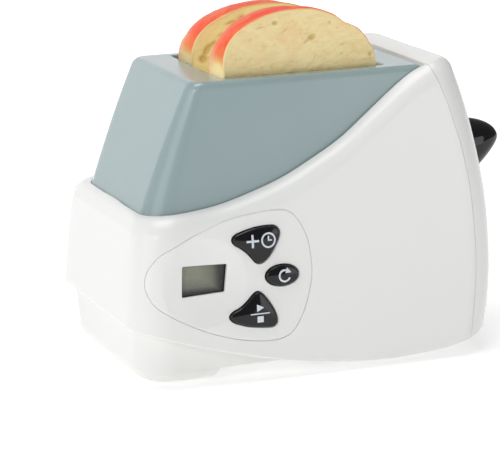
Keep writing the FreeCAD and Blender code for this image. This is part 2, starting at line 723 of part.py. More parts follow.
LIP = [(-90, 27.0), (-80, 25.6), (-72, 23.4), (-64, 20.6), (-54, 17.4), (-44, 14.8), (-34, 13.2),
       (-20, 12.4), (0, 12.2), (20, 12.2), (36, 12.6), (48, 13.6), (60, 15.6)]
foot = D["tray_foot"]
tray_profile = free_sketch(curve_and_lines, [
    LIP, [LIP[-1], (60, foot)], [(60, foot), (D["foot_right_from"] + 2.0, foot)],
    [(D["foot_right_from"] + 2.0, foot), (D["foot_right_from"], D["tray_floor"])],
    [(D["foot_right_from"], D["tray_floor"]), (D["foot_step"], D["tray_floor"])],
    [(D["foot_step"], D["tray_floor"]), (D["foot_break"], foot)],
    [(D["foot_break"], foot), (-90, foot)], [(-90, foot), LIP[0]]], plane="xz")
tray_slab = extrude(tray_profile, V(0, 1, 0), q("body_span"), both=True)
tub = common(tray_block(Q(0), q("tray_foot"), 30.0, round_bottom=D["tray_round"]), tray_slab)
# ledge that closes the space between the tray and the casing, just above its edge
ledge_profile = free_sketch(curve_and_lines, [
    shift(LOW, D["ledge_up"]),
    [(72, 14.0 + D["ledge_up"]), (72, 14.0 + D["ledge_up"] + D["ledge_thick"])],
    shift(LOW, D["ledge_up"] + D["ledge_thick"])[::-1],
    [(-95, 22.8 + D["ledge_up"] + D["ledge_thick"]), (-95, 22.8 + D["ledge_up"])]], plane="xz")
ledge_slab = extrude(ledge_profile, V(0, 1, 0), q("body_span"), both=True)
ledge = cut(common(casing_loft(q("wall") + 0.3, letters="abcd"), ledge_slab),
            tray_block(Q(1.2), -5.0, 40.0))
bay_out = box(q("bay_left") - q("bay_wall"), q("bay_right") + q("bay_wall"), -(q("bay_half") + q("bay_wall")),
              q("bay_half") + q("bay_wall"), 6.0, q("bay_top") + 1.8)
rail_l = cut(tub, [
    tray_block(q("tray_wall"), q("tray_floor") + q("tray_wall"), 40.0),
    box(q("foot_right_to"), 60.0, -60.0, 60.0, -2.0, q("tray_floor")),
    box(5.0, 60.0, q("foot_right_half"), 60.0, -2.0, q("tray_floor")),
    box(5.0, 60.0, -60.0, -q("foot_right_half"), -2.0, q("tray_floor"))])
rod_sockets = [cyl(q("rod_along"), q("rod_apart") * s, 7.0, 8.0, 7.0) for s in (-1, 1)]
bracket = [box(45.2, 49.4, 1.9, 3.9, 7.0, 26.0), box(45.2, 49.4, -3.9, -1.9, 7.0, 26.0)]
coil_saddle = box(24.0, 36.0, -4.0, 4.0, 7.0, 8.2)
door_boss = cyl(-48.6, 0, 6.5, 6.4, 9.0)
tray_solid = fuse([rail_l, ledge, bay_out, coil_saddle, door_boss] + rod_sockets + bracket)
bay_in = box(q("bay_left"), q("bay_right"), -q("bay_half"), q("bay_half"), 0.0, q("bay_top"))
DOOR = (-46.2, 14.4, 18.9)
door_seat = box(DOOR[0] - 0.3, DOOR[1] + 0.3, -(DOOR[2] + 0.3), DOOR[2] + 0.3, 0.0,
                q("tray_floor") + q("door_thick") + 0.2)
tab_seat = box(-52.2, -40.0, -4.8, 4.8, 0.0, q("tray_floor") + q("door_thick") + 0.2)
all_posts = [(p[0], p[1]) for p in CASE_POSTS] + HOUSING_POSTS + CAP_POSTS
bores = []
for x, y in all_posts:
    bores.append(cyl(x, y, -1.0, q("screw_shank") + 0.4, 10.0))
    bores.append(cyl(x, y, -1.0, q("screw_head") + 0.8, q("tray_floor") + 1.0))
rail_hollow = box(-76.0, -59.0, -22.0, 22.0, 2.8, 9.0)
pin_bore = cyl(q("latch_x"), -6.0, q("latch_z"), 2.04, 12.0, "y")
rod_bores = [cyl(q("rod_along"), q("rod_apart") * s, 5.0 + 2.0, 4.04, 12.0) for s in (-1, 1)]
tag_slots = [box(-43.3, -41.7, -11.0, -5.6, 23.0, 27.0), box(-43.3, -41.7, 5.6, 11.0, 23.0, 27.0)]
PADS = [(-68.0, -26.0), (-68.0, 26.0), (21.0, -24.0), (21.0, 24.0)]
pad_seats = [box(x - 6.1, x + 6.1, y - 5.1, y + 5.1, -1.0, 1.42) for x, y in PADS]
tray = cut(tray_solid, [bay_in, door_seat, tab_seat, rail_hollow, pin_bore,
                        cyl(-48.6, 0, 0, 1.8, 13.0)] + bores + rod_bores + tag_slots + pad_seats)
node("base_tray", tray)

pads = []
for x, y in PADS:
    b = box(x - 6.0, x + 6.0, y - 5.0, y + 5.0, 0.0, 1.4)
    pads.append(b)
node("foot_pads", group(pads, "foot_pads"))

# battery door with a screw tab and grip ribs underneath
door_plate = box(DOOR[0], DOOR[1], -DOOR[2], DOOR[2], q("tray_floor"), q("tray_floor") + q("door_thick"))
door_tab = box(-51.9, -44.0, -4.5, 4.5, q("tray_floor"), q("tray_floor") + q("door_thick"))
door_cuts = [cyl(-48.6, 0, 0, 2.4, 10.0), cone(-48.6, 0, 4.99, 5.0, 2.4, 1.45)]
door_cuts += [box(4.0 + 2.4 * k, 5.2 + 2.4 * k, -7.0, 7.0, 4.0, 5.5) for k in range(4)]
node("battery_door", cut(fuse([door_plate, door_tab]), door_cuts))

# countersunk captive screw
door_screw = Body("battery_door_screw")
HD_R = 2.2


def screw_profile(sk, pts):
    polygon(sk, pts)


sk = door_screw.sketch(polygon, [(0, 5.05), (HD_R, 5.05), (HD_R, 5.15), (0.9, 6.35), (0.9, 12.0), (0.5, 12.8), (0, 12.8)],
                       role="XZ_Plane")
door_screw.revolve(sk)
sk = door_screw.sketch(rectangle, 0.6, 3.2, role="XY_Plane", z=5.05)
door_screw.pocket(sk, 0.6, back=True)
sk = door_screw.sketch(rectangle, 3.2, 0.6, role="XY_Plane", z=5.05)
door_screw.pocket(sk, 0.6, back=True)
place(door_screw.b, -48.6, 0, 0)
node("battery_door_screw", door_screw.b)


# pan head screws: shank up, cross recess below
def pan_screw(x, y, z, shank, head, long, head_high, up=1):
    o = [cyl(x, y, z, shank, long), cyl(x, y, z - head_high, head, head_high)]
    r = [box(x - 0.4, x + 0.4, y - num(head) * 0.3, y + num(head) * 0.3, z - head_high - 1, z - head_high + 1.0),
         box(x - num(head) * 0.3, x + num(head) * 0.3, y - 0.4, y + 0.4, z - head_high - 1, z - head_high + 1.0)]
    return cut(fuse(o), r)


node("case_screws", group([pan_screw(x, y, q("tray_floor"), q("screw_shank") - 0.3, q("screw_head"), 9.0, 2.0)
                           for x, y in all_posts], "case_screws"))

# ------------------------------------------------------------------ batteries
def cell(label, y, flip):
    b = Body(label)
    r, n = D["cell_dia"] / 2, D["cell_nub_dia"] / 2
    L, t = D["cell_long"], D["cell_nub"]
    sk = b.sketch(polygon, [(0, 0), (r - 1.0, 0), (r, 0.8), (r, L - 0.8), (r - 1.0, L), (n, L), (n, L + t), (0, L + t)],
                  role="XZ_Plane")
    b.revolve(sk)
    if flip:
        place(b.b, -42.4 + L + t, y, q("cell_axis"), V(0, 1, 0), -90)
        b.b.Placement = FreeCAD.Placement(V(-42.4 + L + t, y, D["cell_axis"]), FreeCAD.Rotation(V(0, 1, 0), -90))
    else:
        b.b.Placement = FreeCAD.Placement(V(12.4 - L - t, y, D["cell_axis"]), FreeCAD.Rotation(V(0, 1, 0), 90))
    b.b.setExpression("Placement.Base.z", "dims.cell_axis")
    node(label, b.b)


cell("aa_battery_front", -D["cell_side"], False)
cell("aa_battery_rear", D["cell_side"], True)


def contact_spring(x, y, sign):
    """stiff cone of wire, drawn as a stepped cone, for the flat end of a cell"""
    rings = []
    for k in range(7):
        t = doc.addObject("Part::Torus", nm("torus"))
        t.Radius1 = 4.6 - 0.45 * k
        t.Radius2 = 0.42
        ang = 90
        place(t, x + sign * (0.40 + 0.57 * k), y, q("cell_axis"), V(0, 1, 0), ang)
        rings.append(t)
    return rings


front_left = fuse([box(-42.95, -42.45, -13.3, -3.3, 9.5, 21.5), box(-42.95, -42.45, -10.8, -5.8, 20.0, 27.5)] +
                  contact_spring(-42.47, -D["cell_side"], 1))
rear_left = fuse([box(-42.95, -42.45, 3.3, 13.3, 9.5, 21.5), box(-42.95, -42.45, 5.8, 10.8, 20.0, 27.5)])
right_plate = fuse([box(12.45, 12.95, -13.3, 13.3, 9.5, 21.5)] + contact_spring(12.47, D["cell_side"], -1))
node("battery_contacts", group([front_left, rear_left, right_plate], "battery_contacts"))

# ------------------------------------------------------------- control panel
panel_stock = common(rounded_form, face_prism(closed_spline, EGG, -20.0, 12.0))
panel_plate = cut(panel_stock, casing_loft(q("wall")))
# snap tabs that reach behind the casing wall: outline on the face and depth of the back
TABS = [(-44.0, -34.0, 62.0, 65.9, -5.1), (-36.0, -28.5, 13.2, 17.6, -3.9), (-19.5, -14.8, 38.0, 48.0, -3.9),
        (-66.0, -58.0, 54.0, 60.4, -4.2)]


def face_box(u0, u1, w0, w1, n0, n1):
    sk = doc.addObject("Sketcher::SketchObject", nm("sketch"))
    polygon(sk, [(u0, w0), (u1, w0), (u1, w1), (u0, w1)])
    face_place(sk, n0)
    return extrude(sk, NORMAL, n1 - n0)


def face_cyl(u, w, dia, n0, n1):
    o = doc.addObject("Part::Cylinder", nm("cyl"))
    o.Radius = num(dia) / 2
    o.Height = n1 - n0
    p = FACE.multVec(V(u, w, n0))
    o.Placement = FreeCAD.Placement(p, FACE.Rotation)
    return o


tab_solids = [face_box(u0, u1, w0, w1, n, n + 1.25) for u0, u1, w0, w1, n in TABS]
tab_roots = [face_box(-44.0, -34.0, 61.3, 63.4, -5.1, -2.2), face_box(-36.0, -28.5, 16.9, 19.2, -3.9, -2.2),
             face_box(-19.5, -17.4, 38.0, 47.0, -3.9, -2.2), face_box(-66.0, -58.0, 53.0, 56.4, -4.2, -2.2)]
BOARD_SCREWS = [(-60.5, 53.2), (-24.0, 53.8), (-62.5, 29.0), (-25.2, 22.6)]
bosses = [face_cyl(u, w, 4.4, -6.55, -2.3) for u, w in BOARD_SCREWS]
dish = doc.addObject("Part::Sphere", "dish_ball")
dish.Radius = D["dish_radius"]
dish.setExpression("Radius", "dims.dish_radius")
dish.Placement = FreeCAD.Placement(FACE.multVec(V(D["lcd_u"], 40.0, D["dish_radius"] - D["dish_deep"])), FACE.Rotation)
window_hole = face_prism(polygon, WINDOW, -20.0, 5.0)
b_gap = D["button_gap"]
button_holes = [face_prism(closed_spline, offset_outline(BUTTON_ADD, b_gap), -20.0, 5.0),
                face_prism(closed_spline, offset_outline(BUTTON_START, b_gap), -20.0, 5.0),
                face_prism(closed_spline, offset_outline(BUTTON_RESET, b_gap), -20.0, 5.0)]
boss_bores = [face_cyl(u, w, 1.7, -10.0, -2.9) for u, w in BOARD_SCREWS]
panel = cut(fuse([panel_plate] + tab_solids + tab_roots + bosses), [dish, window_hole] + button_holes + boss_bores)
node("control_panel", panel)

# display window and module
lens = fuse([face_prism(polygon, grow_quad(WINDOW, -0.12), -3.4, -2.0),
             face_prism(polygon, grow_quad(WINDOW, 0.8), -3.5, -2.62)])
node("lcd_lens", lens)
module = cut(face_box(-69.6, -49.3, 33.6, 48.9, -6.3, -3.65), face_box(-67.4, -51.6, 36.6, 46.2, -3.9, -3.0))
node("lcd_module", module)


# buttons: plug with a soft edge, a flange behind the panel and a small foot
def button(label, outline, cu, cw, tall):
    b = Body(label)
    face_place(b.b)
    sk = b.sketch(closed_spline, outline, z=-3.6)
    f = b.pad(sk, 3.6 + tall)
    sk = b.sketch(closed_spline, offset_outline(outline, D["flange_out"]), z=-3.9)
    g = b.pad(sk, q("flange_thick") - 0.05)
    sk = b.sketch(ring, 3.0, x=cu, y=cw, z=-4.4)
    b.pad(sk, 0.6)
    doc.recompute()
    tip = b.b.Tip
    edge = FACE.multVec(V(0, 0, tall))

    def top_edge(e):
        for k in range(5):
            p = e.valueAt(e.FirstParameter + (e.LastParameter - e.FirstParameter) * k / 4.0)
            if abs(p.z - tall) > 0.02:
                return False
        return True

    b.fillet(tip, top_edge, q("button_edge"))
    node(label, b.b)


button("button_add", BUTTON_ADD, -37.5, 53.0, 1.0)
button("button_reset", BUTTON_RESET, -28.5, 40.1, 1.0)
button("button_start_stop", BUTTON_START, -38.5, 27.3, 1.0)

mat_outline = [(-48.9, 20.2), (-28.4, 20.2), (-28.4, 33.0), (-20.8, 33.0), (-20.8, 47.2), (-28.0, 47.2),
               (-28.0, 60.6), (-48.9, 60.6)]
node("keypad_mat", face_prism(polygon, mat_outline, -6.5, -5.7))

board_outline = [(-72.0, 31.0), (-66.0, 25.4), (-60.0, 20.6), (-21.5, 19.6), (-21.5, 57.0), (-66.0, 57.0), (-72.0, 54.0)]
board = fuse([face_prism(polygon, board_outline, -8.2, -6.6), face_box(-56.0, -46.0, 27.0, 37.0, -9.7, -8.1),
              face_box(-43.0, -37.0, 24.0, 29.0, -9.4, -8.1), face_box(-34.0, -28.0, 30.0, 42.0, -10.2, -8.1)])
node("timer_board", cut(board, [face_cyl(u, w, 2.3, -9.0, -6.0) for u, w in BOARD_SCREWS]))
node("buzzer", cut(face_cyl(-40.0, 50.0, 11.0, -12.3, -8.25), face_cyl(-40.0, 50.0, 2.0, -13.0, -11.2)))
bscrews = []
for u, w in BOARD_SCREWS:
    bscrews.append(cut(fuse([face_cyl(u, w, 1.7, -8.25, -3.3), face_cyl(u, w, 3.8, -9.5, -8.25)]),
                       [face_box(u - 0.3, u + 0.3, w - 1.2, w + 1.2, -10.0, -8.9),
                        face_box(u - 1.2, u + 1.2, w - 0.3, w + 0.3, -10.0, -8.9)]))
node("board_screws", group(bscrews, "board_screws"))


# wires from the battery tags to the board, in an upright plane
def wire(label, pts, x):
    b = Body(label)
    path = b.sketch(lambda sk: None, role="YZ_Plane", z=x)
    c = Part.BSplineCurve()
    c.interpolate([V(a, z, 0) for a, z in pts])
    path.addGeometry(c, False)
    prof = b.sketch(ring, 1.2, role="XY_Plane", x=x, y=pts[0][0], z=pts[0][1])
    doc.recompute()
    f = b.b.newObject("PartDesign::AdditivePipe", nm("pipe"))
    f.Profile = prof
    f.Spine = (path, ["Edge1"])
    return b.b


w1 = wire("wire_front", [(-8.3, 27.6), (-8.6, 30.0), (-12.0, 32.6), (-24.0, 33.0), (-36.0, 31.4), (-41.6, 31.0)], -42.7)
w2 = wire("wire_rear", [(8.3, 27.6), (8.0, 31.6), (3.0, 35.8), (-14.0, 37.4), (-33.0, 36.6), (-41.1, 36.0)], -42.7)
node("battery_wires", group([w1, w2], "battery_wires"))

# ------------------------------------------------------------------- carriage
rods = [cyl(q("rod_along"), q("rod_apart") * s, 7.1, q("rod_dia"), 104.6 - 7.1) for s in (-1, 1)]
node("guide_rods", group(rods, "guide_rods"))

deck = box(-42.0, 22.6, -27.2, 27.2, q("deck_top") - q("deck_thick"), q("deck_top"))
# low ribs beside the slices keep them upright
deck_ribs = [box(-42.0, 22.6, y, y + 1.4, 76.5, 82.0) for y in (-13.2, 3.5, 20.0)]
arm = box(21.0, 37.5, -5.0, 5.0, 73.5, 79.0)
slider = box(36.6, 44.7, -18.0, 18.0, 72.0, 86.0)
tooth = box(36.6, 39.0, -3.0, 3.0, 65.0, 74.0)
barb = box(38.0, 40.5, -2.6, 2.6, 65.0, 66.5)
stem = box(44.0, 74.0, -q("stem_half"), q("stem_half"), q("stem_low"), q("stem_high"))
slider_bores = [cyl(q("rod_along"), q("rod_apart") * s, 70.0, q("rod_bore"), 20.0) for s in (-1, 1)]
slider_relief = [box(36.0, 45.0, 5.5, 9.0, 71.0, 80.0), box(36.0, 45.0, -9.0, -5.5, 71.0, 80.0)]
carriage = cut(fuse([deck] + deck_ribs + [arm, slider, tooth, barb, stem]), slider_bores + slider_relief)
node("bread_carriage", carriage)

# lever knob: a blunt beak, oval in every section, with a socket for the stem
KNOB_MID, KNOB_UP, KNOB_DOWN = 74.3, 83.8, 54.9
knob_rings = []
for k in range(12):
    t = (0.0, 0.14, 0.28, 0.42, 0.55, 0.67, 0.77, 0.855, 0.92, 0.96, 0.985, 0.998)[k]
    up = KNOB_MID + (KNOB_UP - KNOB_MID) * (1 - t ** 2.2) ** (1 / 2.2)
    down = KNOB_MID - (KNOB_MID - KNOB_DOWN) * (1 - t ** 1.25) ** (1 / 1.25)
    wide = (1 - t ** 2.3) ** (1 / 2.3)
    e = doc.addObject("Part::Ellipse", nm("ellipse"))
    across, tall = D["knob_half"] * wide, (up - down) / 2
    if tall > across:
        e.MajorRadius, e.MinorRadius = tall, across
        rot = FreeCAD.Rotation(V(0, 0, 1), V(0, -1, 0), V(1, 0, 0), "XYZ")
    else:
        e.MajorRadius, e.MinorRadius = across, tall
        rot = FreeCAD.Rotation(V(0, 1, 0), V(0, 0, 1), V(1, 0, 0), "XYZ")
    e.Placement = FreeCAD.Placement(V(D["knob_from"] + (D["knob_tip"] - D["knob_from"]) * t, 0, (up + down) / 2), rot)
    e.setExpression("Placement.Base.x", "dims.knob_from + (dims.knob_tip - dims.knob_from) * %r" % t)
    knob_rings.append(e)
knob_form = loft(knob_rings)
knob_socket = box(60.0, 74.2, -(q("stem_half") + 0.05), q("stem_half") + 0.05, q("stem_low") - 0.05, q("stem_high") + 0.05)
node("lever_knob", cut(knob_form, knob_socket))


# lift spring: wound wire above the slider, its ends run out into the two eyes
def coil(x, y, z, radius, wire_dia, pitch, high):
    h = doc.addObject("Part::Helix", nm("helix"))
    h.Pitch = pitch
    h.Height = high
    h.Radius = radius
    sk = doc.addObject("Sketcher::SketchObject", nm("sketch"))
    ring(sk, wire_dia)
    sk.Placement = FreeCAD.Placement(V(radius, 0, 0), FreeCAD.Rotation(V(1, 0, 0), 90))
    s_ = doc.addObject("Part::Sweep", nm("sweep"))
    s_.Sections = [sk]
    s_.Spine = (h, ["Edge1"])
    s_.Solid = True
    s_.Frenet = True
    return s_


lift = coil(0, 0, 0, 2.2, 0.8, 1.3, 11.7)
place(lift, q("rod_along"), 0, 87.0)
node("lift_spring", lift)

# --------------------------------------------------------------------- latch
LATCH = [(-8.9, 10.4), (-8.9, 13.4), (-4.5, 13.4), (2.2, 3.0), (2.4, -1.0), (1.1, -2.6), (1.1, -11.0), (-1.1, -11.0),
         (-1.1, -2.6), (-2.4, 0.0), (-1.5, 4.0), (-5.2, 10.4)]
ang = math.radians(D["latch_swing"])
rest = [(dx * math.cos(ang) + dz * math.sin(ang), dz * math.cos(ang) - dx * math.sin(ang)) for dx, dz in LATCH]
latch = Body("latch_hook")
sk = latch.sketch(polygon, rest, role="XZ_Plane")
latch.pad(sk, q("latch_half") * 2, mid=True)
sk = latch.sketch(ring, 2.15, role="XZ_Plane")
latch.pocket(sk, 10.0, mid=True)
place(latch.b, q("latch_x"), 0, q("latch_z"))
node("latch_hook", latch.b)
pin = Body("latch_pin")
sk = pin.sketch(polygon, [(0, -4.6), (1.7, -4.6), (1.7, -4.1), (1.0, -4.1), (1.0, 6.8), (0.8, 7.0), (0, 7.0)], role="XY_Plane")
pin.revolve(sk)
place(pin.b, q("latch_x"), 0, q("latch_z"))
node("latch_pin", pin.b)
tors = coil(0, 0, 0, 1.75, 0.5, 0.55, 1.65)
tors.Placement = FreeCAD.Placement(V(D["latch_x"], 4.25, D["latch_z"]), FreeCAD.Rotation(V(1, 0, 0), -90))
tors.setExpression("Placement.Base.x", "dims.latch_x")
tors.setExpression("Placement.Base.z", "dims.latch_z")
node("latch_spring", tors)

axis_z = q("latch_z") - q("plunger_arm")
core = cyl(24.4, 0, axis_z, 9.4, 11.2, "x")
coil_ends = [cyl(24.0, 0, axis_z, 10.4, 0.8, "x"), cyl(35.2, 0, axis_z, 10.4, 0.8, "x")]
node("solenoid_coil", cut(fuse([core] + coil_ends), cyl(20.0, 0, axis_z, 4.3, 30.0, "x")))
tail_x = D["latch_x"] - 3.378
plunger = fuse([cyl(25.0, 0, axis_z, 4.0, 15.6, "x"), cyl(40.0, 0, axis_z, 2.0, tail_x - 0.45 - 40.0, "x")])
node("solenoid_plunger", plunger)

# --------------------------------------------------------------------- toast
def slice_points(mid, half, low, top):
    """outline of a toast slice seen from the near side: straight sides, arched top"""
    shoulder = top - 25.5
    pts = [(mid - half + 4.0, low), (mid + half - 4.0, low)]
    curve = []
    for k in range(0, 25):
        a = math.pi * k / 24.0
        curve.append((mid + half * math.cos(a), shoulder + 25.5 * math.sin(a) ** 0.94))
    return pts, curve


def toast(label, near, mid, half, top):
    b = Body(label)
    low = D["deck_top"]
    (a, c), curve = slice_points(mid, half, low, top)
    corner_r = [(mid + half - 4.0, low), (mid + half - 1.2, low + 1.2), (mid + half, low + 4.0)]
    corner_l = [(mid - half, low + 4.0), (mid - half + 1.2, low + 1.2), (mid - half + 4.0, low)]
    sk = b.sketch(curve_and_lines, [[a, c], corner_r, [corner_r[-1], curve[0]], curve, [curve[-1], corner_l[0]], corner_l],
                  role="XZ_Plane", z=-(near + D["slice_thick"]))
    f = b.pad(sk, q("slice_thick"))
    doc.recompute()
    ys = (near, near + D["slice_thick"])
    bb = f.Shape.BoundBox
    print(label, round(bb.YMin, 2), round(bb.YMax, 2))
    node(label, b.b)


toast("toast_slice_front", D["front_slice_near"], D["front_slice_mid"], 31.2, 136.3)
toast("toast_slice_rear", D["rear_slice_near"], D["rear_slice_mid"], 30.5, 134.6)

# -------------------------------------------------------------------- export
doc.recompute()
bad = []
for o in doc.Objects:
    if any(s_ in o.State for s_ in ("Invalid", "Error")):
        bad.append((o.Name, o.Label, o.State))
os.makedirs("parts", exist_ok=True)
for name, obj in PARTS.items():
    shp = obj.Shape
    ok = (not shp.isNull()) and shp.isValid() and len(shp.Solids) > 0
    bb = shp.optimalBoundingBox(False) if not shp.isNull() else None
    print("%-20s %s solids %d vol %8.0f  x %.1f %.1f  y %.1f %.1f  z %.1f %.1f" % (
        name, ok, len(shp.Solids), shp.Volume, bb.XMin, bb.XMax, bb.YMin, bb.YMax, bb.ZMin, bb.ZMax))
    if not ok:
        bad.append((name, "shape"))
if bad:
    raise RuntimeError("broken objects: %r" % bad)
for name, obj in PARTS.items():
    obj.Shape.exportStep("parts/%s.step" % name)
print("nodes", len(PARTS))
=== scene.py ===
import math

import bpy
import bmesh
import numpy as np
from mathutils import noise as mnoise
from mathutils import Matrix, Vector
from mathutils.bvhtree import BVHTree


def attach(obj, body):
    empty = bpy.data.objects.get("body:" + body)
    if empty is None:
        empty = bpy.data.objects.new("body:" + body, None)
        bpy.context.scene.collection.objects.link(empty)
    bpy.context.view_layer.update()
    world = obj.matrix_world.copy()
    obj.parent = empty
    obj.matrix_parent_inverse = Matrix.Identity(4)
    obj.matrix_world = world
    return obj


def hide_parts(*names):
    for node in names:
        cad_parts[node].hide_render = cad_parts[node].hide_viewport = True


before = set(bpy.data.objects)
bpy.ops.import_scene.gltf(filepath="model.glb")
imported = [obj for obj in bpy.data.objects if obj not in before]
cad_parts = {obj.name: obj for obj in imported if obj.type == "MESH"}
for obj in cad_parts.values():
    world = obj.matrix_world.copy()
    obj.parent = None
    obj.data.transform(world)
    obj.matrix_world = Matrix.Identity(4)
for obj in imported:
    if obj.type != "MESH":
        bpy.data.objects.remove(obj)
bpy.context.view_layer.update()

# Toy toaster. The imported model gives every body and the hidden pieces; the pieces
# that are seen get a finer mesh here, built from the same curves as the part.
# Lengths in this script are millimetres and become metres when a mesh is made.

MM = 0.001
COLL = bpy.context.scene.collection
rng = np.random.default_rng(7)


# ------------------------------------------------------------------ curves
def cubic(points):
    """natural cubic spline through (x, y) points, straight beyond its ends"""
    xs = np.array([p[0] for p in points], float)
    ys = np.array([p[1] for p in points], float)
    n = len(xs)
    h = np.diff(xs)
    A = np.zeros((n, n))
    r = np.zeros(n)
    A[0, 0] = A[-1, -1] = 1
    for i in range(1, n - 1):
        A[i, i - 1], A[i, i], A[i, i + 1] = h[i - 1], 2 * (h[i - 1] + h[i]), h[i]
        r[i] = 6 * ((ys[i + 1] - ys[i]) / h[i] - (ys[i] - ys[i - 1]) / h[i - 1])
    m = np.linalg.solve(A, r)

    def f(x):
        x = np.asarray(x, float)
        i = np.clip(np.searchsorted(xs, x) - 1, 0, n - 2)
        t = np.clip(x, xs[0], xs[-1])
        a, b = xs[i + 1] - t, t - xs[i]
        y = (m[i] * a ** 3 + m[i + 1] * b ** 3) / (6 * h[i]) + (ys[i] / h[i] - m[i] * h[i] / 6) * a \
            + (ys[i + 1] / h[i] - m[i + 1] * h[i] / 6) * b
        s0 = (ys[1] - ys[0]) / h[0] - h[0] * (2 * m[0] + m[1]) / 6
        s1 = (ys[-1] - ys[-2]) / h[-1] + h[-1] * (m[-2] + 2 * m[-1]) / 6
        return y + np.where(x < xs[0], (x - xs[0]) * s0, 0) + np.where(x > xs[-1], (x - xs[-1]) * s1, 0)
    return f


def closed_curve(points, count):
    """evenly spaced points on a smooth closed curve through the given ones"""
    P = np.array(points, float)
    n = len(P)
    d = np.linalg.norm(np.roll(P, -1, 0) - P, axis=1)
    A = np.zeros((n, n))
    R = np.zeros((n, 2))
    for i in range(n):
        hp, hn = d[i - 1], d[i]
        A[i, i - 1] += hp
        A[i, i] += 2 * (hp + hn)
        A[i, (i + 1) % n] += hn
        R[i] = 6 * ((P[(i + 1) % n] - P[i]) / hn - (P[i] - P[i - 1]) / hp)
    M = np.linalg.solve(A, R)
    out = []
    for i in range(n):
        j = (i + 1) % n
        for k in range(40):
            b = d[i] * k / 40.0
            a = d[i] - b
            out.append((M[i] * a ** 3 + M[j] * b ** 3) / (6 * d[i]) + (P[i] / d[i] - M[i] * d[i] / 6) * a
                       + (P[j] / d[i] - M[j] * d[i] / 6) * b)
    return resample(np.array(out), count)


def resample(Q, count):
    """closed polyline cut into equal steps"""
    C = np.vstack([Q, Q[:1]])
    s = np.concatenate([[0], np.cumsum(np.linalg.norm(np.diff(C, axis=0), axis=1))])
    t = np.linspace(0, s[-1], count, endpoint=False)
    return np.stack([np.interp(t, s, C[:, k]) for k in range(2)], 1)


def outward(Q):
    """unit outward normals of a closed polyline that runs counter-clockwise"""
    t = np.roll(Q, -1, 0) - np.roll(Q, 1, 0)
    t /= np.linalg.norm(t, axis=1)[:, None]
    return np.stack([t[:, 1], -t[:, 0]], 1)


def ccw(points):
    P = np.array(points, float)
    q = np.roll(P, -1, 0)
    area = np.sum(P[:, 0] * q[:, 1] - q[:, 0] * P[:, 1])
    return P if area > 0 else P[::-1].copy()


def smooth01(t):
    t = np.clip(t, 0, 1)
    return t * t * (3 - 2 * t)


# --------------------------------------------------------------- mesh tools
def new_object(name, verts, faces, smooth=True):
    me = bpy.data.meshes.new(name)
    me.from_pydata([tuple(v) for v in np.asarray(verts, float) * MM], [], [tuple(int(i) for i in f) for f in faces])
    me.validate()
    me.update()
    if smooth:
        me.polygons.foreach_set("use_smooth", [True] * len(me.polygons))
    o = bpy.data.objects.new(name, me)
    COLL.objects.link(o)
    return o


def grid_faces(rows, cols, wrap_rows=False, wrap_cols=True, flip=False, base=0):
    """quads of a grid stored row by row"""
    f = []
    R = rows if wrap_rows else rows - 1
    C = cols if wrap_cols else cols - 1
    for i in range(R):
        for j in range(C):
            a, b = i * cols + j, i * cols + (j + 1) % cols
            c, d = ((i + 1) % rows) * cols + (j + 1) % cols, ((i + 1) % rows) * cols + j
            q = (a, b, c, d) if not flip else (d, c, b, a)
            f.append(tuple(base + k for k in q))
    return f


def fix_normals(o):
    bm = bmesh.new()
    bm.from_mesh(o.data)
    bmesh.ops.remove_doubles(bm, verts=bm.verts, dist=1e-7)
    bmesh.ops.recalc_face_normals(bm, faces=bm.faces)
    bm.to_mesh(o.data)
    bm.free()
    o.data.update()
    return o


def boolean(o, cutter, op="DIFFERENCE", keep=False):
    m = o.modifiers.new("cut", "BOOLEAN")
    m.operation = op
    m.solver = "EXACT"
    m.object = cutter
    bpy.context.view_layer.update()
    dg = bpy.context.evaluated_depsgraph_get()
    me = bpy.data.meshes.new_from_object(o.evaluated_get(dg), depsgraph=dg)
    o.modifiers.clear()
    old = o.data
    o.data = me
    bpy.data.meshes.remove(old)
    if not keep:
        bpy.data.objects.remove(cutter)
    return o


def loose_parts_keep_largest(o):
    """drops slivers that a cut leaves behind"""
    bm = bmesh.new()
    bm.from_mesh(o.data)
    seen, groups = set(), []
    for v in bm.verts:
        if v.index in seen:
            continue
        stack, g = [v], []
        seen.add(v.index)
        while stack:
            a = stack.pop()
            g.append(a)
            for e in a.link_edges:
                b = e.other_vert(a)
                if b.index not in seen:
                    seen.add(b.index)
                    stack.append(b)
        groups.append(g)
    groups.sort(key=len, reverse=True)
    drop = [v for g in groups[1:] if len(g) < 0.05 * len(groups[0]) for v in g]
    if drop:
        bmesh.ops.delete(bm, geom=drop, context="VERTS")
    bm.to_mesh(o.data)
    bm.free()
    return o


def shade_from(o, smooth_source, angle=28.0):
    """After a cut: faces that lie on the original surface take that surface's smooth
    normals, the cut walls stay crisp."""
    src = smooth_source
    src.calc_loop_triangles()
    tris = [tuple(t.vertices) for t in src.loop_triangles]
    vn = [v.normal.copy() for v in src.vertices]
    vc = [v.co.copy() for v in src.vertices]
    tree = BVHTree.FromPolygons(vc, tris)
    me = o.data
    limit = math.cos(math.radians(angle))
    normals = [None] * len(me.loops)
    me.polygons.foreach_set("use_smooth", [True] * len(me.polygons))
    for p in me.polygons:
        fn = p.normal
        for li in p.loop_indices:
            co = me.vertices[me.loops[li].vertex_index].co
            hit, hn, idx, dist = tree.find_nearest(co)
            n = fn
            if idx is not None and dist < 2e-5:
                a, b, c = tris[idx]
                w = barycentric(hit, vc[a], vc[b], vc[c])
                s = (vn[a] * w[0] + vn[b] * w[1] + vn[c] * w[2]).normalized()
                if s.dot(fn) > limit:
                    n = s
            normals[li] = (n.x, n.y, n.z)
    me.normals_split_custom_set(normals)
    me.update()
    return o


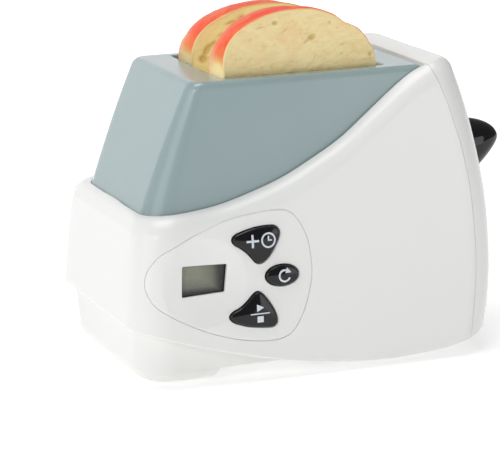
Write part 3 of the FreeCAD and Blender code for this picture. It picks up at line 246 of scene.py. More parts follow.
def barycentric(p, a, b, c):
    v0, v1, v2 = b - a, c - a, p - a
    d00, d01, d11 = v0.dot(v0), v0.dot(v1), v1.dot(v1)
    d20, d21 = v2.dot(v0), v2.dot(v1)
    den = d00 * d11 - d01 * d01
    if abs(den) < 1e-24:
        return (1 / 3.0, 1 / 3.0, 1 / 3.0)
    v = (d11 * d20 - d01 * d21) / den
    w = (d00 * d21 - d01 * d20) / den
    return (1 - v - w, v, w)


def crisp(o, angle=35.0):
    """smooth shading that breaks at edges sharper than the angle"""
    me = o.data
    me.polygons.foreach_set("use_smooth", [True] * len(me.polygons))
    bm = bmesh.new()
    bm.from_mesh(me)
    for e in bm.edges:
        e.smooth = len(e.link_faces) == 2 and e.calc_face_angle(0.0) < math.radians(angle)
    bm.to_mesh(me)
    bm.free()
    me.update()
    return o


# ---------------------------------------------------------------- materials
def material(name):
    m = bpy.data.materials.new(name)
    m.use_nodes = True
    t = m.node_tree
    b = t.nodes["Principled BSDF"]
    return m, t, b


def node(t, kind, **kw):
    n = t.nodes.new(kind)
    for k, v in kw.items():
        setattr(n, k, v)
    return n


def coords(t, scale=(1, 1, 1), rot=(0, 0, 0)):
    tc = node(t, "ShaderNodeTexCoord")
    mp = node(t, "ShaderNodeMapping")
    mp.inputs["Scale"].default_value = scale
    mp.inputs["Rotation"].default_value = rot
    t.links.new(tc.outputs["Object"], mp.inputs["Vector"])
    return mp.outputs["Vector"]


def noise(t, vec, scale, detail=4.0, rough=0.55, distortion=0.0):
    n = node(t, "ShaderNodeTexNoise")
    n.inputs["Scale"].default_value = scale
    n.inputs["Detail"].default_value = detail
    n.inputs["Roughness"].default_value = rough
    n.inputs["Distortion"].default_value = distortion
    t.links.new(vec, n.inputs["Vector"])
    return n.outputs["Fac"]


def ramp(t, fac, stops, interp="LINEAR"):
    r = node(t, "ShaderNodeValToRGB")
    r.color_ramp.interpolation = interp
    e = r.color_ramp.elements
    while len(e) < len(stops):
        e.new(0.5)
    for i, (p, c) in enumerate(stops):
        e[i].position = p
        e[i].color = (c[0], c[1], c[2], 1.0) if len(c) == 3 else c
    t.links.new(fac, r.inputs["Fac"])
    return r.outputs["Color"]


def mapr(t, fac, lo, hi, a=0.0, b=1.0):
    m = node(t, "ShaderNodeMapRange")
    m.inputs["From Min"].default_value = a
    m.inputs["From Max"].default_value = b
    m.inputs["To Min"].default_value = lo
    m.inputs["To Max"].default_value = hi
    t.links.new(fac, m.inputs["Value"])
    return m.outputs["Result"]


def bump(t, fac, strength, dist, normal=None):
    b = node(t, "ShaderNodeBump")
    b.inputs["Strength"].default_value = strength
    b.inputs["Distance"].default_value = dist
    t.links.new(fac, b.inputs["Height"])
    if normal is not None:
        t.links.new(normal, b.inputs["Normal"])
    return b.outputs["Normal"]


def mix(t, fac, a, b, kind="MIX"):
    m = node(t, "ShaderNodeMix", data_type="RGBA", blend_type=kind)
    for sock, val in ((m.inputs[0], fac), (m.inputs[6], a), (m.inputs[7], b)):
        if isinstance(val, (int, float)):
            sock.default_value = val
        elif isinstance(val, (tuple, list)):
            sock.default_value = (*val[:3], 1.0)
        else:
            t.links.new(val, sock)
    return m.outputs[2]


def srgb(r, g, b):
    def f(c):
        c /= 255.0
        return c / 12.92 if c <= 0.04045 else ((c + 0.055) / 1.055) ** 2.4
    return (f(r), f(g), f(b))


def moulded(name, colour, colour2, rough=(0.22, 0.32), wave=0.00001, grain=0.000006, coat=0.0, ior=1.46, spec=0.5):
    """injection-moulded plastic: faint flow marks in colour, slow waviness, fine grain"""
    m, t, b = material(name)
    v = coords(t)
    flow = noise(t, coords(t, (1.0, 1.0, 0.45)), 18.0, 3.0, 0.5, 0.6)
    b_col = ramp(t, flow, [(0.30, colour), (0.72, colour2)])
    t.links.new(b_col, b.inputs["Base Color"])
    fine = noise(t, v, 900.0, 3.0, 0.6)
    smear = noise(t, v, 55.0, 2.0, 0.5)
    t.links.new(mapr(t, smear, rough[0], rough[1], 0.3, 0.7), b.inputs["Roughness"])
    slow = noise(t, v, 28.0, 2.0, 0.4)
    n1 = bump(t, slow, 0.25, wave)
    n2 = bump(t, fine, 0.25, grain, n1) if grain else n1
    t.links.new(n2, b.inputs["Normal"])
    b.inputs["IOR"].default_value = ior
    b.inputs["Specular IOR Level"].default_value = spec
    if coat:
        b.inputs["Coat Weight"].default_value = coat
        b.inputs["Coat Roughness"].default_value = 0.2
    return m


def shell_plastic(name, colour, colour2, rough):
    """the white mouldings: colour and gloss drift slowly over the part, the surface itself is smooth"""
    m, t, b = material(name)
    drift = noise(t, coords(t, (1.0, 1.0, 0.6)), 9.0, 0.0, 0.5)
    t.links.new(ramp(t, drift, [(0.0, colour), (1.0, colour2)]), b.inputs["Base Color"])
    gloss = noise(t, coords(t), 14.0, 0.0, 0.5)
    t.links.new(mapr(t, gloss, rough[0], rough[1]), b.inputs["Roughness"])
    b.inputs["IOR"].default_value = 1.46
    return m


def metal(name, colour, rough=(0.22, 0.4), scale=(1, 1, 12)):
    m, t, b = material(name)
    v = coords(t, scale)
    n = noise(t, v, 700.0, 4.0, 0.6)
    t.links.new(ramp(t, n, [(0.3, tuple(c * 0.86 for c in colour)), (0.7, colour)]), b.inputs["Base Color"])
    b.inputs["Metallic"].default_value = 1.0
    t.links.new(mapr(t, n, rough[0], rough[1]), b.inputs["Roughness"])
    t.links.new(bump(t, n, 0.3, 0.00001), b.inputs["Normal"])
    return m


WHITE = shell_plastic("white_shell", srgb(238, 239, 237), srgb(241, 242, 240), (0.22, 0.265))
WHITE_BASE = shell_plastic("white_base", srgb(235, 236, 233), srgb(240, 241, 238), (0.29, 0.37))
GREY = moulded("grey_gloss", srgb(150, 169, 171), srgb(154, 173, 175), rough=(0.22, 0.265), wave=0.000006, grain=0.0, coat=0.4)
BLACK = moulded("black_gloss", (0.005, 0.005, 0.006), (0.008, 0.008, 0.010), rough=(0.05, 0.09), wave=0.000005, grain=0.000001, spec=0.46)
PRINT = moulded("white_print", srgb(205, 213, 226), srgb(226, 232, 240), rough=(0.45, 0.6), wave=0.000005)
INNER = moulded("inner_plastic", srgb(196, 198, 198), srgb(214, 215, 215), rough=(0.4, 0.55))
RUBBER = moulded("soft_rubber", srgb(58, 58, 60), srgb(70, 70, 72), rough=(0.65, 0.8), grain=0.00002, spec=0.3)
JACKET = moulded("battery_jacket", srgb(52, 60, 74), srgb(62, 70, 86), rough=(0.25, 0.35))
BOARD = moulded("circuit_board", srgb(26, 84, 44), srgb(34, 104, 58), rough=(0.3, 0.45))
SOUNDER = moulded("sounder_plastic", srgb(22, 22, 23), srgb(30, 30, 31), rough=(0.5, 0.6))
STEEL = metal("spring_steel", (0.62, 0.63, 0.66))
CONTACT = metal("contact_metal", (0.74, 0.72, 0.66))
COPPER = metal("copper_winding", (0.80, 0.42, 0.22), scale=(60, 1, 1))
WIRE = moulded("wire_jacket", srgb(168, 30, 24), srgb(186, 40, 30), rough=(0.4, 0.5))

# ------------------------------------------------- outer form of the casing
XL = cubic([(0, -87.7), (24, -86.9), (45, -85.4), (60, -83.8), (80, -80.8), (100, -77.5), (118, -74.5)])
XR = cubic([(0, 58.5), (24, 63.3), (45, 64.1), (60, 63.3), (80, 60.1), (100, 55.1), (118, 48.8)])
TOP = cubic([(-95, 62.9), (-87, 63.6), (-78, 64.3), (-70, 65.0), (-60, 65.8), (-53, 66.7), (-45, 68.4),
             (-36.7, 70.8), (-23.4, 75.5), (-9.9, 82.2), (1.2, 88.6), (9.8, 95.0), (17.0, 100.5), (22.5, 104.7),
             (27.1, 108.0), (31.4, 110.7), (36.5, 113.0), (42, 114.7), (48, 115.6), (60, 115.9)])
LOW = cubic([(-95, 22.8), (-86, 22.0), (-79, 20.8), (-72, 18.6), (-64, 16.0), (-54, 13.2), (-44, 10.4),
             (-34, 8.0), (-20, 5.4), (-6, 3.6), (6, 2.6), (16, 2.3), (26, 2.7), (38, 3.7), (48, 5.6),
             (56, 7.9), (62, 10.0), (72, 14.0)])
SEAM = [(37.4, 118.5), (38.3, 113.6), (39.6, 109.4), (41.5, 104.7), (44.6, 96.6), (46.4, 90.7), (48.3, 84.7), (50.5, 74.8), (51.9, 66.9),
        (52.5, 60.9), (53.3, 49.1), (53.4, 35.3), (52.6, 25.4), (51.0, 13.6), (49.4, 0.0)]
GREYL = cubic([(56.0, -80.6), (75.8, -73.6), (96.5, -65.6), (113.3, -58.3)])
GREYR = 37.6
GREY_GAP = 0.35
DRAFT = 0.1


def half_depth(z):
    return 53.9 - DRAFT * z


def grey_half(z):
    return 39.95 + (35.2 - 39.95) * (z - 56.0) / (113.3 - 56.0)


SEGS = [("near", 150), ("nr", 26), ("right", 70), ("fr", 26), ("far", 150), ("fl", 26), ("left", 70), ("nl", 26)]


def columns():
    s, f = [], []
    for k, (n, c) in enumerate(SEGS):
        for i in range(c):
            s.append(k)
            f.append(i / c)
    return np.array(s), np.array(f)


def rect_points(seg, fr, xl, xr, h, r, rr=None):
    """points of a rounded rectangle by segment and share of it; rr is the right corners' radius"""
    x = np.zeros(len(seg))
    y = np.zeros(len(seg))
    rr = r if rr is None else rr
    xl, xr, h, r, rr = (np.broadcast_to(np.asarray(a, float), seg.shape) for a in (xl, xr, h, r, rr))
    corner = {1: (xr - rr, -h + rr, -90, rr), 3: (xr - rr, h - rr, 0, rr), 5: (xl + r, h - r, 90, r), 7: (xl + r, -h + r, 180, r)}
    for k in range(8):
        m = seg == k
        f = fr[m]
        if k == 0:
            x[m] = (xl + r)[m] + ((xr - rr) - (xl + r))[m] * f
            y[m] = -h[m]
        elif k == 2:
            x[m] = xr[m]
            y[m] = (-h + rr)[m] + (2 * (h - rr))[m] * f
        elif k == 4:
            x[m] = (xr - rr)[m] - ((xr - rr) - (xl + r))[m] * f
            y[m] = h[m]
        elif k == 6:
            x[m] = xl[m]
            y[m] = (h - r)[m] - (2 * (h - r))[m] * f
        else:
            cx, cy, a0, q = corner[k]
            a = np.radians(a0 + 90 * f)
            x[m] = cx[m] + q[m] * np.cos(a)
            y[m] = cy[m] + q[m] * np.sin(a)
    return x, y


SEG, FR = columns()
NC = len(SEG)


def outer_xy(z):
    return rect_points(SEG, FR, XL(z), XR(z), half_depth(z), 14.0)


def opening_xy(z):
    zz = np.clip(z, 50, 125)
    return rect_points(SEG, FR, GREYL(zz) - GREY_GAP, GREYR + GREY_GAP, grey_half(zz) + GREY_GAP, corner_grey(zz) + GREY_GAP,
                       RIGHT_CORNER + GREY_GAP)


RIGHT_CORNER = 1.7


def corner_grey(z):
    return 12.0 + (5.4 - 12.0) * (np.asarray(z, float) - 60.0) / 53.0


def per_side(near, left, right):
    """a value for each column that changes smoothly round the corners"""
    base = {0: near, 2: right, 4: near, 6: left}
    out = np.zeros(NC)
    for k in range(8):
        m = SEG == k
        if k in base:
            out[m] = base[k]
        else:
            a, b = base[(k - 1) % 8], base[(k + 1) % 8]
            out[m] = a + (b - a) * smooth01(FR[m])
    return out


def build_shell():
    # bottom edge height and the height of the top surface over each column
    zb = np.full(NC, 10.0)
    zt = np.full(NC, 90.0)
    for _ in range(40):
        x, _y = outer_xy(zb)
        zb = 0.5 * zb + 0.5 * LOW(x)
        x, _y = outer_xy(zt)
        zt = 0.5 * zt + 0.5 * TOP(x)
    roll_in = per_side(7.6, 5.2, 3.7)
    roll_up = per_side(8.5, 6.0, 3.7)
    zi = zt.copy()
    for _ in range(30):
        x, _y = opening_xy(zi)
        zi = 0.5 * zi + 0.5 * TOP(x)
    ix, iy = opening_xy(zi)

    def point(d, drop, z_guess):
        """d mm inwards from the outer wall, drop mm under the top surface"""
        z = z_guess.copy()
        for _ in range(6):
            ox, oy = outer_xy(z)
            vx, vy = ix - ox, iy - oy
            L = np.hypot(vx, vy)
            f = np.minimum(d / L, 1.0)
            x, y = ox + vx * f, oy + vy * f
            z = TOP(x) - drop
        return x, y, z

    rows = []
    # outer wall from the lower edge up
    zr = point(np.zeros(NC), roll_up, zt)[2]
    e = 0.7
    for k in range(4):
        a = math.pi / 2 * k / 4
        z = zb + e * (1 - math.sin(a))
        ox, oy = outer_xy(z)
        L = np.hypot(ix - ox, iy - oy)
        f = e * (1 - math.cos(a)) / L
        rows.insert(0, (ox + (ix - ox) * f, oy + (iy - oy) * f, z))
    NW = 96
    for k in range(1, NW + 1):
        z = (zb + e) + (zr - zb - e) * k / NW
        ox, oy = outer_xy(z)
        rows.append((ox, oy, z))
    NR = 22
    for k in range(1, NR + 1):
        a = math.pi / 2 * k / NR
        rows.append(point(roll_in * (1 - math.cos(a)), roll_up * (1 - math.sin(a)), zr))
    wid = np.hypot(rows[-1][0] - ix, rows[-1][1] - iy)
    ei = 0.7
    for k in range(1, 7):
        d = roll_in + (wid - ei) * k / 6
        rows.append(point(d, np.zeros(NC), zt))
    for k in range(1, 6):
        a = math.pi / 2 * k / 5
        rows.append(point(roll_in + wid - ei * (1 - math.sin(a)), np.full(NC, ei * (1 - math.cos(a))), zt))
    rows.append((ix, iy, zi - 1.6))
    rows.append((ix, iy, zi - 2.6))
    # underside of the rim and the inner wall back down
    wall = 2.4
    for k in range(1, 5):
        d = roll_in + wid + (wall + 2.0 - roll_in - wid) * k / 4
        rows.append(point(d, 2.6 + per_side(1.2, 1.0, 0.8) * (k / 4.0) ** 2, zt))
    z_in = zr - 0.5
    for k in range(0, 13):
        z = z_in + (zb + 0.3 - z_in) * k / 12
        ox, oy = outer_xy(z)
        L = np.hypot(ix - ox, iy - oy)
        f = wall / L
        rows.append((ox + (ix - ox) * f, oy + (iy - oy) * f, z))
    ox, oy = outer_xy(zb)
    L = np.hypot(ix - ox, iy - oy)
    for w in (wall - 0.3, 0.5 * (wall + e)):
        rows.append((ox + (ix - ox) * (w / L), oy + (iy - oy) * (w / L), zb))
    V_ = np.array([np.stack(r, 1) for r in rows])
    verts = V_.reshape(-1, 3)
    faces = grid_faces(len(rows), NC, wrap_rows=True)
    return fix_normals(new_object("shell", verts, faces))


def prism_y(name, poly, y0=-90.0, y1=90.0):
    """closed prism along Y from an outline in x and z"""
    P = ccw(poly)
    n = len(P)
    v = [(x, y0, z) for x, z in P] + [(x, y1, z) for x, z in P]
    f = [(i, (i + 1) % n, n + (i + 1) % n, n + i) for i in range(n)] + [tuple(range(n))[::-1], tuple(range(n, 2 * n))]
    return fix_normals(new_object(name, v, f, smooth=False))


def block(name, x0, x1, y0, y1, z0, z1):
    return prism_y(name, [(x0, z0), (x1, z0), (x1, z1), (x0, z1)], y0, y1)


seam_z = np.linspace(118.5, 0.0, 110)
_sx = cubic([(z, x) for x, z in SEAM[::-1]])
seam_line = [(float(_sx(z)), float(z)) for z in seam_z]


def cap_cutter(gap):
    pts = [(x + gap, z) for x, z in seam_line]
    return prism_y("cap_cutter", pts + [(90.0, 0.0), (90.0, pts[0][1])])


# The near face leans in: u runs along X, w up the face, n outwards.
NEAR_UP = np.array([0, DRAFT, 1.0]) / math.sqrt(1 + DRAFT ** 2)
NEAR_OUT = np.array([0, -1.0, DRAFT]) / math.sqrt(1 + DRAFT ** 2)


def face_point(u, w, n):
    u, w, n = (np.asarray(a, float) for a in (u, w, n))
    return np.stack([u + 0 * w, -53.9 + w * NEAR_UP[1] + n * NEAR_OUT[1], w * NEAR_UP[2] + n * NEAR_OUT[2]], -1)


def face_depth(u, w):
    """how far the casing's surface lies behind the flat of the near face, round the corner"""
    u = np.asarray(u, float)
    w = np.asarray(w, float)
    z = w * NEAR_UP[2]
    c = XL(z) + 14.0
    t = np.clip((c - u) / 14.0, 0, 0.97)
    d = 14.0 * (1 - np.sqrt(1 - t * t))
    z2 = z - 0.1 * d
    c = XL(z2) + 14.0
    t = np.clip((c - u) / 14.0, 0, 0.97)
    return -14.0 * (1 - np.sqrt(1 - t * t))


EGG = closed_curve(ccw([(-81.9, 42.2), (-80.0, 47.9), (-78.3, 50.0), (-76.5, 51.9), (-72.8, 53.9), (-68.8, 55.8),
       (-64.7, 57.6), (-60.6, 59.3), (-56.6, 60.6), (-52.5, 62.0), (-48.4, 63.2), (-44.3, 63.9), (-40.3, 64.5),
       (-36.2, 64.9), (-32.1, 65.2), (-28.2, 65.1), (-25.4, 64.5), (-23.2, 63.2), (-21.3, 61.2), (-19.8, 58.8),
       (-18.3, 55.6), (-17.2, 52.2), (-16.6, 48.5), (-16.2, 44.4), (-16.2, 40.0), (-16.8, 35.8), (-17.9, 31.7),
       (-19.3, 27.5), (-21.0, 23.8), (-22.8, 20.8), (-25.0, 18.3), (-27.7, 16.6), (-30.8, 15.8), (-34.7, 15.7),
       (-38.8, 16.0), (-42.9, 16.6), (-46.9, 17.4), (-50.9, 18.5), (-54.8, 19.8), (-58.8, 21.3), (-62.7, 23.0),
       (-66.6, 24.9), (-70.4, 27.0), (-74.2, 29.4), (-77.7, 31.8), (-79.9, 34.3), (-81.2, 37.0), (-81.9, 39.6)]), 260)
B_ADD = closed_curve(ccw([(-48.0, 55.4), (-47.1, 56.8), (-45.1, 57.7), (-41.0, 58.8), (-36.9, 59.4), (-32.8, 59.5),
       (-30.8, 59.2), (-29.4, 58.2), (-28.8, 56.5), (-29.3, 54.4), (-30.8, 51.6), (-33.2, 48.2), (-35.4, 46.2),
       (-36.9, 45.6), (-38.4, 45.8), (-39.8, 47.1), (-41.5, 49.2), (-43.4, 51.0), (-45.4, 52.5), (-47.2, 53.7)]), 160)
B_START = closed_curve(ccw([(-50.4, 26.2), (-49.4, 27.6), (-46.9, 28.8), (-44.6, 30.2), (-42.4, 32.1), (-40.4, 34.0),
       (-39.0, 34.7), (-37.6, 34.3), (-36.2, 32.9), (-34.4, 30.5), (-32.6, 27.4), (-31.5, 24.4), (-31.5, 22.3),
       (-32.7, 21.1), (-35.2, 20.9), (-38.9, 21.3), (-43.0, 22.0), (-47.0, 23.3), (-49.6, 24.7)]), 160)
B_RESET = closed_curve([(-28.5 + 6.7 * math.cos(math.radians(a)), 40.1 + 4.0 * math.sin(math.radians(a)))
                        for a in range(0, 360, 20)], 120)
WINDOW = ccw([(-68.0, 47.2), (-50.0, 46.5), (-51.5, 36.0), (-68.7, 35.4)])


def round_corners(P, r, n=5):
    """polygon with small arcs at its corners"""
    out = []
    k = len(P)
    for i in range(k):
        a, b, c = P[i - 1], P[i], P[(i + 1) % k]
        u, v = (a - b) / np.linalg.norm(a - b), (c - b) / np.linalg.norm(c - b)
        ang = math.acos(np.clip(np.dot(u, v), -1, 1))
        t = r / math.tan(ang / 2)
        p, q_ = b + u * t, b + v * t
        m = b + (u + v) / np.linalg.norm(u + v) * (r / math.sin(ang / 2))
        a0 = math.atan2(p[1] - m[1], p[0] - m[0])
        a1 = math.atan2(q_[1] - m[1], q_[0] - m[0])
        while a1 - a0 > math.pi:
            a1 -= 2 * math.pi
        while a1 - a0 < -math.pi:
            a1 += 2 * math.pi
        for j in range(n + 1):
            s = a0 + (a1 - a0) * j / n
            out.append((m[0] + r * math.cos(s), m[1] + r * math.sin(s)))
    return np.array(out)


WINDOW_R = resample(round_corners(WINDOW, 0.35), 120)


def flared_cutter(name, outline, gap, edge, surface, deep, steps=4):
    """a plug for cutting a hole: straight below, opening out round the edge at the surface"""
    nrm = outward(outline)
    rings = []
    ns = surface(outline[:, 0], outline[:, 1])
    rings.append((gap, ns * 0 + deep))
    rings.append((gap, ns - edge))
    for k in range(1, steps + 1):
        a = math.pi / 2 * k / steps
        rings.append((gap + edge * (1 - math.cos(a)), ns - edge * (1 - math.sin(a))))
    rings.append((gap + edge, ns + 0.6))
    rings.append((gap + edge, ns * 0 + 4.0))
    verts = []
    for d, n in rings:
        q_ = outline + nrm * d
        verts.append(face_point(q_[:, 0], q_[:, 1], n))
    N = len(outline)
    V_ = np.concatenate(verts)
    f = grid_faces(len(rings), N)
    f.append(tuple(range(N))[::-1])
    f.append(tuple(range((len(rings) - 1) * N, len(rings) * N)))
    return fix_normals(new_object(name, V_, f))


def dish_depth(u, w):
    r = np.hypot(u + 59.7, w - 40.0) / 17.2
    return 1.45 * (1 - np.clip(r, 0, 1) ** 2.6) ** 1.15


def panel_surface(u, w):
    return face_depth(u, w) - dish_depth(u, w)


def plate_from_outline(name, outline, centre, surface, back, edge, rings_in=70, steps=6, gap=0.0, step=0.0):
    """plate whose face follows surface(u, w), with a rounded edge, closed at the back"""
    nrm = outward(outline)
    N = len(outline)
    rows = []
    ns = face_depth(outline[:, 0], outline[:, 1])
    q0 = outline - nrm * (gap - step)
    rows.append(face_point(q0[:, 0], q0[:, 1], ns * 0 + 1.0 * back + ns))
    rows.append(face_point(q0[:, 0], q0[:, 1], ns - 1.4))
    if step:
        rows.append(face_point(q0[:, 0], q0[:, 1], ns - 0.42))
        q1 = outline - nrm * (gap - 0.4 * step)
        rows.append(face_point(q1[:, 0], q1[:, 1], ns - 0.50))
        q1 = outline - nrm * gap
        rows.append(face_point(q1[:, 0], q1[:, 1], ns - 0.50))
        edge = min(edge, 0.49)
    for k in range(0, steps + 1):
        a = math.pi / 2 * k / steps
        q_ = outline - nrm * (gap + edge * (1 - math.cos(a)))
        rows.append(face_point(q_[:, 0], q_[:, 1], surface(q_[:, 0], q_[:, 1]) - edge * (1 - math.sin(a))))
    q1 = outline - nrm * (gap + edge)
    c = np.array(centre)
    for k in range(1, rings_in):
        f = 1 - k / rings_in
        q_ = c + (q1 - c) * f
        rows.append(face_point(q_[:, 0], q_[:, 1], surface(q_[:, 0], q_[:, 1])))
    V_ = np.concatenate(rows)
    faces = grid_faces(len(rows), N)
    top = len(V_)
    V_ = np.vstack([V_, face_point(c[0], c[1], surface(c[0], c[1]))[None], ])
    last = (len(rows) - 1) * N
    faces += [(last + i, last + (i + 1) % N, top) for i in range(N)]
    # back of the plate
    m = len(V_)
    back_rows = []
    for f in (0.75, 0.5, 0.25):
        q_ = c + (q0 - c) * f
        back_rows.append(face_point(q_[:, 0], q_[:, 1], face_depth(q_[:, 0], q_[:, 1]) + back))
    V_ = np.vstack([V_] + back_rows + [face_point(c[0], c[1], back)[None]])
    faces += [((i + 1) % N, i, m + i, m + (i + 1) % N) for i in range(N)]
    for r in range(2):
        faces += [(m + r * N + (i + 1) % N, m + r * N + i, m + (r + 1) * N + i, m + (r + 1) * N + (i + 1) % N) for i in range(N)]
    faces += [(m + 2 * N + (i + 1) % N, m + 2 * N + i, len(V_) - 1) for i in range(N)]
    return fix_normals(new_object(name, V_, faces))


def finish_cut(o, source, angle=30.0):
    loose_parts_keep_largest(o)
    shade_from(o, source, angle)
    return o


def paint(o, mat):
    o.data.materials.clear()
    o.data.materials.append(mat)
    for p in o.data.polygons:
        p.material_index = 0
    return o


shell = build_shell()
shell_mesh = shell.data.copy()
cap = shell.copy()
cap.data = shell.data.copy()
cap.name = "cap_shell"
COLL.objects.link(cap)

shell = boolean(shell, cap_cutter(0.0))
shell = boolean(shell, flared_cutter("egg_cutter", EGG, 0.22, 0.35, face_depth, -12.0))
shell.name = "casing_shell"
finish_cut(shell, shell_mesh)
paint(shell, WHITE)
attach(shell, "toaster_body")
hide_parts("outer_casing")

cap = boolean(cap, cap_cutter(0.14), "INTERSECT")
cap = boolean(cap, block("slot_cutter", 50.0, 72.0, -3.4, 3.4, 39.1, 82.9))
finish_cut(cap, shell_mesh)
paint(cap, WHITE)
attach(cap, "toaster_body")
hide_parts("end_cap")

panel = plate_from_outline("panel_plate", EGG, (-48.0, 41.0), panel_surface, -2.4, 0.45, step=0.19)
panel_mesh = panel.data.copy()
panel = boolean(panel, flared_cutter("w", WINDOW_R, 0.0, 0.35, panel_surface, -6.0))
for nm_, ol in (("ba", B_ADD), ("bs", B_START), ("br", B_RESET)):
    panel = boolean(panel, flared_cutter(nm_, ol, 0.3, 0.3, panel_surface, -6.0))
finish_cut(panel, panel_mesh)
paint(panel, WHITE)
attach(panel, "toaster_body")
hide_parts("control_panel")


# ------------------------------------------------------------ grey housing
def build_grey():
    seg, fr = SEG, FR
    zs_top = 113.3

    def ring_(z, inset):
        return rect_points(seg, fr, GREYL(z) + inset, GREYR - inset, grey_half(z) - inset, np.maximum(corner_grey(z) - inset, 0.6),
                           np.maximum(RIGHT_CORNER - 0.35 * inset, 0.5))

    rows = []
    n = 60
    R = 2.6
    for k in range(n + 1):
        z = 56.0 + (zs_top - R - 56.0) * k / n
        x, y = ring_(np.full(NC, z), 0.0)
        rows.append((x, y, np.full(NC, z)))
    for k in range(1, 13):
        a = math.pi / 2 * k / 12
        z = zs_top - R * (1 - math.sin(a))
        x, y = ring_(np.full(NC, z), R * (1 - math.cos(a)))
        rows.append((x, y, np.full(NC, z)))
    # top face in to the slot
    sx, sy = rect_points(seg, fr, -43.4, 23.6, 28.6, 1.5)
    ex, ey = rows[-1][0], rows[-1][1]
    e = 0.9
    L = np.hypot(sx - ex, sy - ey)
    for k in range(1, 7):
        f = (L - e) / L * k / 6
        rows.append((ex + (sx - ex) * f, ey + (sy - ey) * f, np.full(NC, zs_top)))
    for k in range(1, 6):
        a = math.pi / 2 * k / 5
        f = (L - e * (1 - math.sin(a))) / L
        rows.append((ex + (sx - ex) * f, ey + (sy - ey) * f, np.full(NC, zs_top - e * (1 - math.cos(a)))))
    for z in (108.0, 100.0, 85.0, 70.0, 60.0):
        rows.append((sx, sy, np.full(NC, z)))
    wx, wy = rect_points(seg, fr, -45.6, 25.8, 30.8, 4.0)
    for z in (60.0, 85.0, 110.9):
        rows.append((wx, wy, np.full(NC, z)))
    z = np.full(NC, 110.9)
    x, y = ring_(z, 2.3)
    rows.append((x, y, z))
    for zz in (85.0, 56.0):
        z = np.full(NC, zz)
        x, y = ring_(z, 2.3)
        rows.append((x, y, z))
    V_ = np.array([np.stack(r, 1) for r in rows]).reshape(-1, 3)
    return fix_normals(new_object("grey_housing", V_, grid_faces(len(rows), NC, wrap_rows=True)))


grey = build_grey()
grey_mesh = grey.data.copy()
grey = boolean(grey, block("slit", 22.0, 40.0, -6.0, 6.0, 50.0, 85.0))
grey = boolean(grey, block("pocket", 34.6, 40.0, -18.8, 18.8, 50.0, 88.0))
finish_cut(grey, grey_mesh, 32.0)
paint(grey, GREY)
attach(grey, "toaster_body")
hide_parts("inner_housing")


def lathe(name, profile, centre, axis="z", n=48):
    """turned piece from (radius, height) points"""
    rows = []
    for r, h in profile:
        a = np.linspace(0, 2 * math.pi, n, endpoint=False)
        p = np.stack([r * np.cos(a), r * np.sin(a), np.full(n, h)], 1)
        if axis == "x":
            p = p[:, [2, 0, 1]]
        if axis == "y":
            p = p[:, [0, 2, 1]] * np.array([1, 1, -1])
        rows.append(p + np.array(centre))
    V_ = np.concatenate(rows)
    f = grid_faces(len(rows), n)
    f.append(tuple(range(n))[::-1])
    f.append(tuple(range((len(rows) - 1) * n, len(rows) * n)))
    return fix_normals(new_object(name, V_, f))


# columns and rod bridge of the housing, inside
for i, (x, y, h) in enumerate([(-50, -24, 111.5), (-50, 24, 111.5), (33, -26, 100.0), (33, 26, 100.0)]):
    c = crisp(lathe("housing_column_%d" % (i + 1), [(1.35, 7.6), (3.1, 7.6), (3.5, 8.0), (3.5, h - 0.3), (3.2, h), (1.35, h)], (x, y, 0)))
    paint(c, GREY)
    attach(c, "toaster_body")
    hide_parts("inner_housing")
bridge = block("rod_bridge", 33.4, 45.0, -18.0, 18.0, 100.0, 104.0)
bm = bmesh.new()
bm.from_mesh(bridge.data)
bmesh.ops.bevel(bm, geom=list(bm.edges), offset=0.5 * MM, segments=3, affect="EDGES", profile=0.5)
bm.to_mesh(bridge.data)
bm.free()
paint(crisp(bridge), GREY)
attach(bridge, "toaster_body")
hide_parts("inner_housing")


# ------------------------------------------------------------- the buttons
def build_button(name, outline, centre, body, node_name, proud=1.25, crown=0.35, edge=1.0):
    nrm = outward(outline)
    N = len(outline)
    c = np.array(centre)
    rows = [face_point(outline[:, 0], outline[:, 1], np.full(N, -3.6))]
    rows.append(face_point(outline[:, 0], outline[:, 1], np.full(N, -1.0)))
    for k in range(0, 9):
        a = math.pi / 2 * k / 8
        q_ = outline - nrm * (edge * (1 - math.cos(a)))
        rows.append(face_point(q_[:, 0], q_[:, 1], np.full(N, proud - edge * (1 - math.sin(a)))))
    q1 = outline - nrm * edge
    K = 26
    for k in range(1, K):
        f = 1 - k / K
        q_ = c + (q1 - c) * f
        rows.append(face_point(q_[:, 0], q_[:, 1], np.full(N, proud + crown * (1 - f * f))))
    V_ = np.concatenate(rows)
    faces = grid_faces(len(rows), N)
    faces.append(tuple(range(N))[::-1])
    V_ = np.vstack([V_, face_point(c[0], c[1], proud + crown)[None]])
    last = (len(rows) - 1) * N
    faces += [(last + i, last + (i + 1) % N, len(V_) - 1) for i in range(N)]
    o = fix_normals(new_object(name, V_, faces))
    crisp(o, 60)
    paint(o, BLACK)
    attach(o, body)
    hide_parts(node_name)
    return o, c, q1, proud, crown


buttons = {}
buttons["add"] = build_button("add_cap", B_ADD, (-37.6, 53.6), "add_button", "button_add")
buttons["reset"] = build_button("reset_cap", B_RESET, (-28.5, 40.1), "reset_button", "button_reset")
buttons["start"] = build_button("start_cap", B_START, (-38.6, 26.8), "start_button", "button_start_stop")

def attribute(o, name, values):
    a = o.data.attributes.new(name, "FLOAT", "POINT")
    a.data.foreach_set("value", np.asarray(values, dtype=np.float32))


def named(t, name):
    n = node(t, "ShaderNodeAttribute")
    n.attribute_name = name
    return n.outputs["Fac"]


